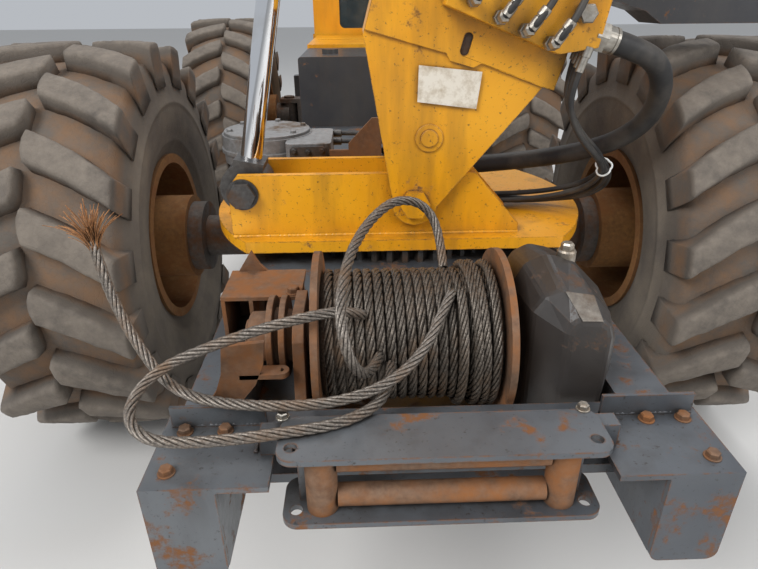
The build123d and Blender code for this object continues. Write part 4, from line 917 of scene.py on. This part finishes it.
def pierced(build, outline, holes, place, low, high):
    """A plate with holes cut through it."""
    lines = [[(x, y, 0) for x, y in loop] for loop in (outline, *holes)]
    mesh = curve_mesh(lines, "POLY", dimensions="2D", fill_mode="BOTH", extrude=0.5)
    joined = bmesh.new()
    joined.from_mesh(mesh)
    bmesh.ops.remove_doubles(joined, verts=joined.verts, dist=0.001)
    joined.to_mesh(mesh)
    joined.free()
    start = len(build.vertices)
    build.vertices += [place(v.co.x, v.co.y, low + (v.co.z + 0.5) * (high - low)) for v in mesh.vertices]
    build.faces += [tuple(start + i for i in face.vertices) for face in mesh.polygons]
    bpy.data.meshes.remove(mesh)


# Winch: gear case with the motor's stub, its vent, and the clutch end on its pedestal
CASE_LEFT = 195
case_sections = [
    # forward of the drum's axis, left foot, right foot; then across and up at eight corners
    (-175, 82, 169, (80, 88), (87, 110), (101, 120), (145, 118), (163, 106), (171, 80), (171, -30),
     (169, -75)),
    (-122, 20, 195, (17, 116), (40, 150), (75, 164), (140, 154), (181, 110), (203, 50), (203, -30),
     (195, -75)),
    (0, 0, 208, (0, 120), (27, 174), (72, 194), (133, 178), (201, 110), (233, 42), (233, -30), (208, -75)),
    (150, 10, 205, (10, 90), (35, 140), (72, 160), (125, 148), (185, 90), (210, 30), (210, -30), (205, -75)),
]
case_rings = []
for ahead, left_foot, right_foot, *crown in case_sections:
    foot = WINCH_BASE - WINCH_Z
    outline = [(left_foot, foot), *crown, (right_foot, foot)]
    case_rings.append([mm(CASE_LEFT + across, WINCH_Y + ahead, WINCH_Z + up) for across, up in outline])
case = Build()
case.loops(case_rings)
case.lathe(mm(CASE_LEFT + 105, WINCH_Y + 150, WINCH_Z - 30), (0, 1, 0), [(-10, 50), (62, 50)], 28)
case_piece = case.finish("gearcase_casting", black_cast, "chassis", bevel=0.01)
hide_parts("winch_gearcase")
vent = Build()
vent_foot = mm(CASE_LEFT + 123, WINCH_Y + 15, WINCH_Z + 160)
vent.lathe(vent_foot, UP, [(0, 21), (34, 21), (38, 18)], 28)
vent.lathe(vent_foot, UP, [(37, 15), (50, 15), (54, 12)], 6)
vent.finish("gearcase_vent", fitting_steel, "chassis")

STAND_X = -270
PEDESTAL_THICK = 26
pedestal_outline = [
    # forward, up
    (WINCH_Y - 150, WINCH_BASE), (WINCH_Y - 100, WINCH_Z + 40), (WINCH_Y - 55, WINCH_Z + 90),
    (WINCH_Y + 55, WINCH_Z + 90), (WINCH_Y + 150, WINCH_BASE),
]
clutch_profile = [
    # distance from the pedestal, radius
    (-2, 62), (18, 62), (18, 95), (32, 95), (32, 66), (46, 66), (46, 95), (60, 95), (60, 58), (100, 58),
    (106, 52), (106, 40), (114, 40),
]
clutch = Build()
prism(clutch, pedestal_outline, lengthways, STAND_X, STAND_X - PEDESTAL_THICK)
clutch.lathe(mm(STAND_X - PEDESTAL_THICK, WINCH_Y, WINCH_Z), (-1, 0, 0), clutch_profile, 48)
clutch_piece = clutch.finish("winch_clutch_end", rusty_steel, "chassis", bevel=0.002)
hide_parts("winch_clutch")

# Steelwork at the winch's left: curved gusset, stand plate with its eye, and the channel between them
CHANNEL_ENDS = (-1000, -1158)
gusset_outline = [
    # across, up
    (-520, FRAME_TOP), (-520, 1005), (-433, 1141), (-414, 1104), (-379, 1067), (-330, 1049), (-300, 1042),
    (-300, 1012), (-412, FRAME_TOP),
]
stand_outline = [
    # across, up
    (-482, FRAME_TOP), (-458, 985), (-442, 1030), (-434, 1098), (-345, 1106), (-352, 1050), (-372, 1000),
    (-412, FRAME_TOP),
]
side_sheets = [
    # outline, how it stands, its two faces
    (gusset_outline, upright, (-994, -1006)),
    (stand_outline, upright, (-1390, -1402)),
    (oblong(-390, 1079, 196, 10), upright, CHANNEL_ENDS),
    (oblong(-483, 1012, 10, 124), upright, CHANNEL_ENDS),
    (oblong(-415, 1012, 10, 124), upright, CHANNEL_ENDS),
    (oblong(-362, -1384, 86, 36), mm, (1014, 1026)),
]
side_steel = Build()
for outline, place, faces in side_sheets:
    prism(side_steel, outline, place, *faces)
eye_ring = rounded(-319, -1384, 36, 36, 18)
pierced(side_steel, eye_ring, [rounded(-319, -1384, 14, 14, 7)], mm, 1013.5, 1026.5)
side_steel.hex_bolt(mm(-312, -1136, 1084), UP, 30)
side_steel.finish("winch_side_steelwork", rusty_steel, "chassis", bevel=0.0015)

# Boom leg: doubler plate with its slot, a dark sheet in the slot as painted shade, and the plug below it
LEG_FACE = 143
DOUBLER = 10
doubler_outline = [
    # towards the boom, up the leg: its lower edge follows the seam, with a lip below the slot
    (283, 446), (283, 880), (-260, 880), (-292, 524), (-292, 434), (-252, 434), (-62, 448), (-44, 432),
    (28, 432), (44, 448),
]
slot_outline = rounded(-4, 486, 25, 62, 12.4)
plug_profile = [(0, 42), (5, 42), (6, 40), (6, 26), (11, 26), (12, 24)]
doubler = Build()
pierced(doubler, doubler_outline, [slot_outline], on_leg, LEG_FACE, LEG_FACE + DOUBLER)
doubler.finish("leg_doubler", yellow, "boom", bevel=0.0015)
# painted shade: a dark sheet at the slot's bottom where its depth would lie in shade
slot_painted_shade = Build()
prism(slot_painted_shade, slot_outline, on_leg, LEG_FACE, LEG_FACE + 1)
slot_painted_shade.finish("leg_slot_painted_shade", dark_steel, "boom")
plug = Build()
plug.lathe(on_leg(18, 208, LEG_FACE), REARWARD, plug_profile, 40)
plug.finish("leg_plug", yellow, "boom")

# Valve manifold: block with nuts, the clamp above it, and the crimps that the hoses start in
MANIFOLD_BACK = LEG_FACE + DOUBLER
MANIFOLD_DEPTH = 78
MANIFOLD_FRONT = MANIFOLD_BACK + MANIFOLD_DEPTH
MANIFOLD_MIDDLE = MANIFOLD_BACK + MANIFOLD_DEPTH / 2
CLAMP_FRONT = MANIFOLD_FRONT + 26
manifold_outline = [(96, 562), (96, 724), (-322, 724), (-340, 572), (-240, 528)]
manifold_nuts = [
    # towards the boom, up the leg, corner radius, height
    (76, 612, 19, 46), (30, 590, 17, 30), (-52, 572, 20, 26), (-128, 560, 20, 26), (-205, 548, 20, 26),
    (-265, 640, 26, 40),
]
leg_left = Vector((-cos(LEG_LEAN), 0, sin(LEG_LEAN)))
leg_up = Vector((sin(LEG_LEAN), 0, cos(LEG_LEAN)))
main_crimp = [
    # distance along, radius
    (0, 33), (1, 36), (9, 36), (10, 34), (12, 34), (13, 36), (34, 36), (35, 33),
]
VALVE_CRIMP_PLACE = (469.5, -742, 1545.8)
valve_crimp = [(0, 9.5), (1, 11.5), (40, 11.5), (41, 14), (68, 14)]
manifold = Build()
prism(manifold, manifold_outline, on_leg, MANIFOLD_BACK, MANIFOLD_FRONT)
prism(manifold, oblong(-90, 1330, 260, 50), on_leg, LEG_FACE, CLAMP_FRONT)
manifold_piece = manifold.finish("manifold_block", yellow, "boom", bevel=0.003)
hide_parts("valve_manifold")
nuts = Build()
for across, up, size, height in manifold_nuts:
    profile = [(-1, size), (height * 0.9, size), (height, size * 0.85)]
    nuts.lathe(on_leg(across, up, MANIFOLD_FRONT), REARWARD, profile, 6)
nuts.lathe(on_leg(-392, 600, MANIFOLD_MIDDLE), leg_left, main_crimp, 32)
nuts.lathe(on_leg(-358, 600, MANIFOLD_MIDDLE), leg_left, [(0, 42), (34, 42)], 6)
for step in range(len(valve_hose_lines)):
    foot = mm(*(c + step * d for c, d in zip(VALVE_CRIMP_PLACE, VALVE_HOSE_STEP)))
    nuts.lathe(foot, leg_up, valve_crimp, 20)
nuts.finish("manifold_nuts", fitting_steel, "boom")

# Swing drive: stepped casting with its lid, a side housing, the motor's plate and two ports
DRIVE_PLACE = (-512, -40)
LID_BOLTS = 6
LID_BOLT_CIRCLE = 149
LID_TOP = 1266
drive_profile = [
    # height above the floor, radius
    (1038, 118), (1062, 130), (1128, 150), (1150, 176), (1186, 176), (1189, 185), (1203, 185), (1206, 179),
    (1256, 179), (1256, 171), (1266, 171), (1268, 169),
]
drive = Build()
drive.lathe(mm(*DRIVE_PLACE, 0), UP, drive_profile, 64)
prism(drive, rounded(-333, -124, 170, 288, 24), mm, 1118, 1254)
for j in range(LID_BOLTS):
    angle = radians(20) + 2 * pi * j / LID_BOLTS
    x = DRIVE_PLACE[0] + LID_BOLT_CIRCLE * cos(angle)
    y = DRIVE_PLACE[1] + LID_BOLT_CIRCLE * sin(angle)
    drive.hex_bolt(mm(x, y, LID_TOP), UP, 24)
drive_piece = drive.finish("swing_drive_casting", silver_cast, "turret", bevel=0.002)
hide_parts("swing_drive")
motor = Build()
pierced(motor, rounded(-333, 1186, 134, 122, 16), [rounded(-333, 1186, 26, 26, 13)], upright, -267, -282)
for x in (-384, -282):
    for z in (1140, 1232):
        motor.hex_bolt(mm(x, -281, z), REARWARD, 20)
for y, z in ((-52, 1216), (-4, 1238)):
    motor.lathe(mm(-249, y, z), (1, 0, 0), [(0, 15), (33, 15), (35, 12)], 24)
motor.finish("swing_motor_plate", dark_steel, "turret", bevel=0.0015)

# Turret: rusty bracket in front of the drive, and the oil swivel that the hoses run to
hose_bracket = [
    # across, up
    (-252, PLATE_TOP), (-252, 1239), (-182, 1239), (-182, 1262), (-96, 1352), (-62, 1352), (-62, PLATE_TOP),
]
bracket = Build()
prism(bracket, hose_bracket, upright, -294, -306)
bracket.finish("hose_bracket", metals["rust_brown"], "turret", bevel=0.001)
swivel = Build()
swivel_profile = [(1038, 62), (1198, 62), (1200, 60), (1200, 48), (1248, 48), (1250, 46)]
swivel.lathe(mm(0, -230, 0), UP, swivel_profile, 40)
swivel.finish("oil_swivel_post", dark_steel, "turret")

# Blank plates: one on the leg, one on the winch's gear case; thick and rim are in metres and as a share
label_corners = [(30, -673.2, 1462), (204, -673.2, 1440), (215, -673.2, 1543), (32, -673.2, 1563)]
case_corners = [(298, -1424, 1150.5), (340, -1424, 1149), (334, -1374, 1183), (273, -1374, 1193)]
blank_plates = [
    # name, corners, thick, rim, material, body
    ("blank_label", label_corners, 0.0008, 0, label_white, "boom"),
    ("blank_data_plate", case_corners, 0.0016, 0.08, metals["plate_alloy"], "chassis"),
]
for name, corners, thick, rim, material, body in blank_plates:
    build = Build()
    build.plate([mm(*corner) for corner in corners], thick, rim)
    build.finish(name, material, body)

# Hose ends and pipes that rise from the manifold to the clamp on the leg
manifold_pipes = [
    # foot across and up, nut height, sideways reach, radius
    (30, 590, 30, -40, 8.5),
    (-52, 572, 26, -60, 9.5),
    (-128, 560, 26, -62, 9.5),
    (-205, 548, 26, -52, 9.5),
]
pipe_bends = [
    # share of the sideways reach, rise above the foot, distance from the nut
    (0, 0, -4), (0, 0, 18), (0.15, 24, 34), (0.5, 80, 30), (0.8, 170, 14),
]
PIPE_END_UP = 1308
PIPE_END_OUT = 205
sleeve_profile = [
    # distance along, radius as a share of the pipe's
    (0, 1), (1, 1.5), (30, 1.55), (31, 1.3), (36, 1.3), (37, 1.55), (60, 1.5), (62, 1),
]
nut_profile = [(-4, 1.1), (0, 1.75), (16, 1.75), (20, 1.1)]
NUT_POINT = 2
SLEEVE_POINT = 5
SLEEVE_AIM = 12
for i, (across, up, nut, reach, radius) in enumerate(manifold_pipes):
    front = MANIFOLD_FRONT + nut
    route = [on_leg(across + reach * share, up + rise, front + out) for share, rise, out in pipe_bends]
    line = [route[0]]
    for start, end in zip(route, route[1:]):
        line += [start.lerp(end, k / 4) for k in range(1, 5)]
    clamped = on_leg(across + reach, PIPE_END_UP, PIPE_END_OUT)
    line += [line[-1].lerp(clamped, k / 12) for k in range(1, 13)]
    soft = [line[0], line[1]]
    for before, point, after in zip(line[1:], line[2:], line[3:]):
        soft.append((before + point * 2 + after) / 4)
    soft.append(line[-1])
    pipe = Build()
    pipe.tube(soft, radius / 1000, 14)
    pipe.finish(f"manifold_pipe_{i + 1}", hose_black, "boom", True)
    sleeve = Build()
    nut_foot = soft[NUT_POINT]
    foot = soft[SLEEVE_POINT]
    heading = (soft[SLEEVE_AIM] - foot).normalized()
    sleeve.lathe(foot, heading, [(along, radius * share) for along, share in sleeve_profile], 24)
    sleeve.lathe(nut_foot, foot - nut_foot, [(along, radius * share) for along, share in nut_profile], 6)
    sleeve.finish(f"manifold_pipe_end_{i + 1}", fitting_steel, "boom")

# White tie round the bundle of valve hoses
TIE_SHARE = 0.36
TIE_GAP = 0.0125
TIE_STEPS = 40
TIE_RADIUS = 0.0032
tie_index = int(TIE_SHARE * len(valve_hose_lines[0]))
tie_points = [line[tie_index] for line in valve_hose_lines]
tie_middle = sum(tie_points, Vector()) / len(tie_points)
tie_heading = valve_hose_lines[0][tie_index + 1] - tie_points[0]
tie_first, tie_second = square_to(tie_heading.normalized())
tie_line = []
for j in range(TIE_STEPS + 1):
    angle = 2 * pi * j / TIE_STEPS
    outward = tie_first * cos(angle) + tie_second * sin(angle)
    far = max((point - tie_middle).dot(outward) for point in tie_points)
    tie_line.append(tie_middle + outward * (far + TIE_GAP))
tie = Build()
tie.tube(tie_line, TIE_RADIUS, 6)
tie.finish("hose_tie", tie_white, "turret", True)

# Parts of a CAD node that have another material than the rest of it, in millimetres
PACK_OUTSIDE = 150
PACK_MIDDLE = -37
PACK_HALF_LENGTH = 198
PIN_HALF_LENGTH = 80
ROD_NECK_TOP = 1330


def on_pack(c):
    """True on the drum's wound rope, between its flanges."""
    off_axis = (c.y - WINCH_Y) ** 2 + (c.z - WINCH_Z) ** 2
    return off_axis < PACK_OUTSIDE ** 2 and abs(c.x - PACK_MIDDLE) < PACK_HALF_LENGTH


def recoat(name, material, chosen):
    """Give the faces whose middle passes a test another material."""
    mesh = nodes[name].data
    mesh.materials.append(material)
    slot_number = len(mesh.materials) - 1
    for face in mesh.polygons:
        if chosen((Vector(face.center) - SHIFT) * 1000):
            face.material_index = slot_number


recoat("winch_drum", drum_rope, on_pack)
recoat("turret_pins", yellow, lambda c: abs(c.x - PIVOT_X) < PIN_HALF_LENGTH)
recoat("lift_rod", dark_steel, lambda c: c.z < ROD_NECK_TOP)

# Floor and light
FLOOR_SIZE = 80
floor_corners = [(x, y, 0) for x, y in oblong(0, 0, FLOOR_SIZE, FLOOR_SIZE)]
floor_mesh = bpy.data.meshes.new("floor")
floor_mesh.from_pydata(floor_corners, [], [(0, 1, 2, 3)])
floor = placed("floor", floor_mesh)
floor_mesh.materials.append(Surface("pale_floor").done((0.62, 0.61, 0.59), rough=0.9))

lamps = [
    # name, place in the machine's axes, aims at, size, power
    ("key_light", (-6, -6.5, 8.5), (0, -0.8, 0.8), 5, 900),
    ("fill_light", (6.5, -6, 5), (0, -0.8, 0.8), 6, 350),
    ("top_light", (1.5, 3.5, 10), (0, 1, 0.8), 7, 500),
]
for name, place, aim, size, power in lamps:
    light = bpy.data.lights.new(name, "AREA")
    light.shape = "DISK"
    light.size = size
    light.energy = power
    holder = placed(name, light)
    holder.location = at(*place)
    holder.rotation_euler = (at(*aim) - at(*place)).to_track_quat("-Z", "Y").to_euler()
world = bpy.data.worlds.new("studio")
bpy.context.scene.world = world
world.use_nodes = True
sky = world.node_tree.nodes["Background"]
sky.inputs["Color"].default_value = (0.86, 0.9, 0.96, 1)
sky.inputs["Strength"].default_value = 0.55
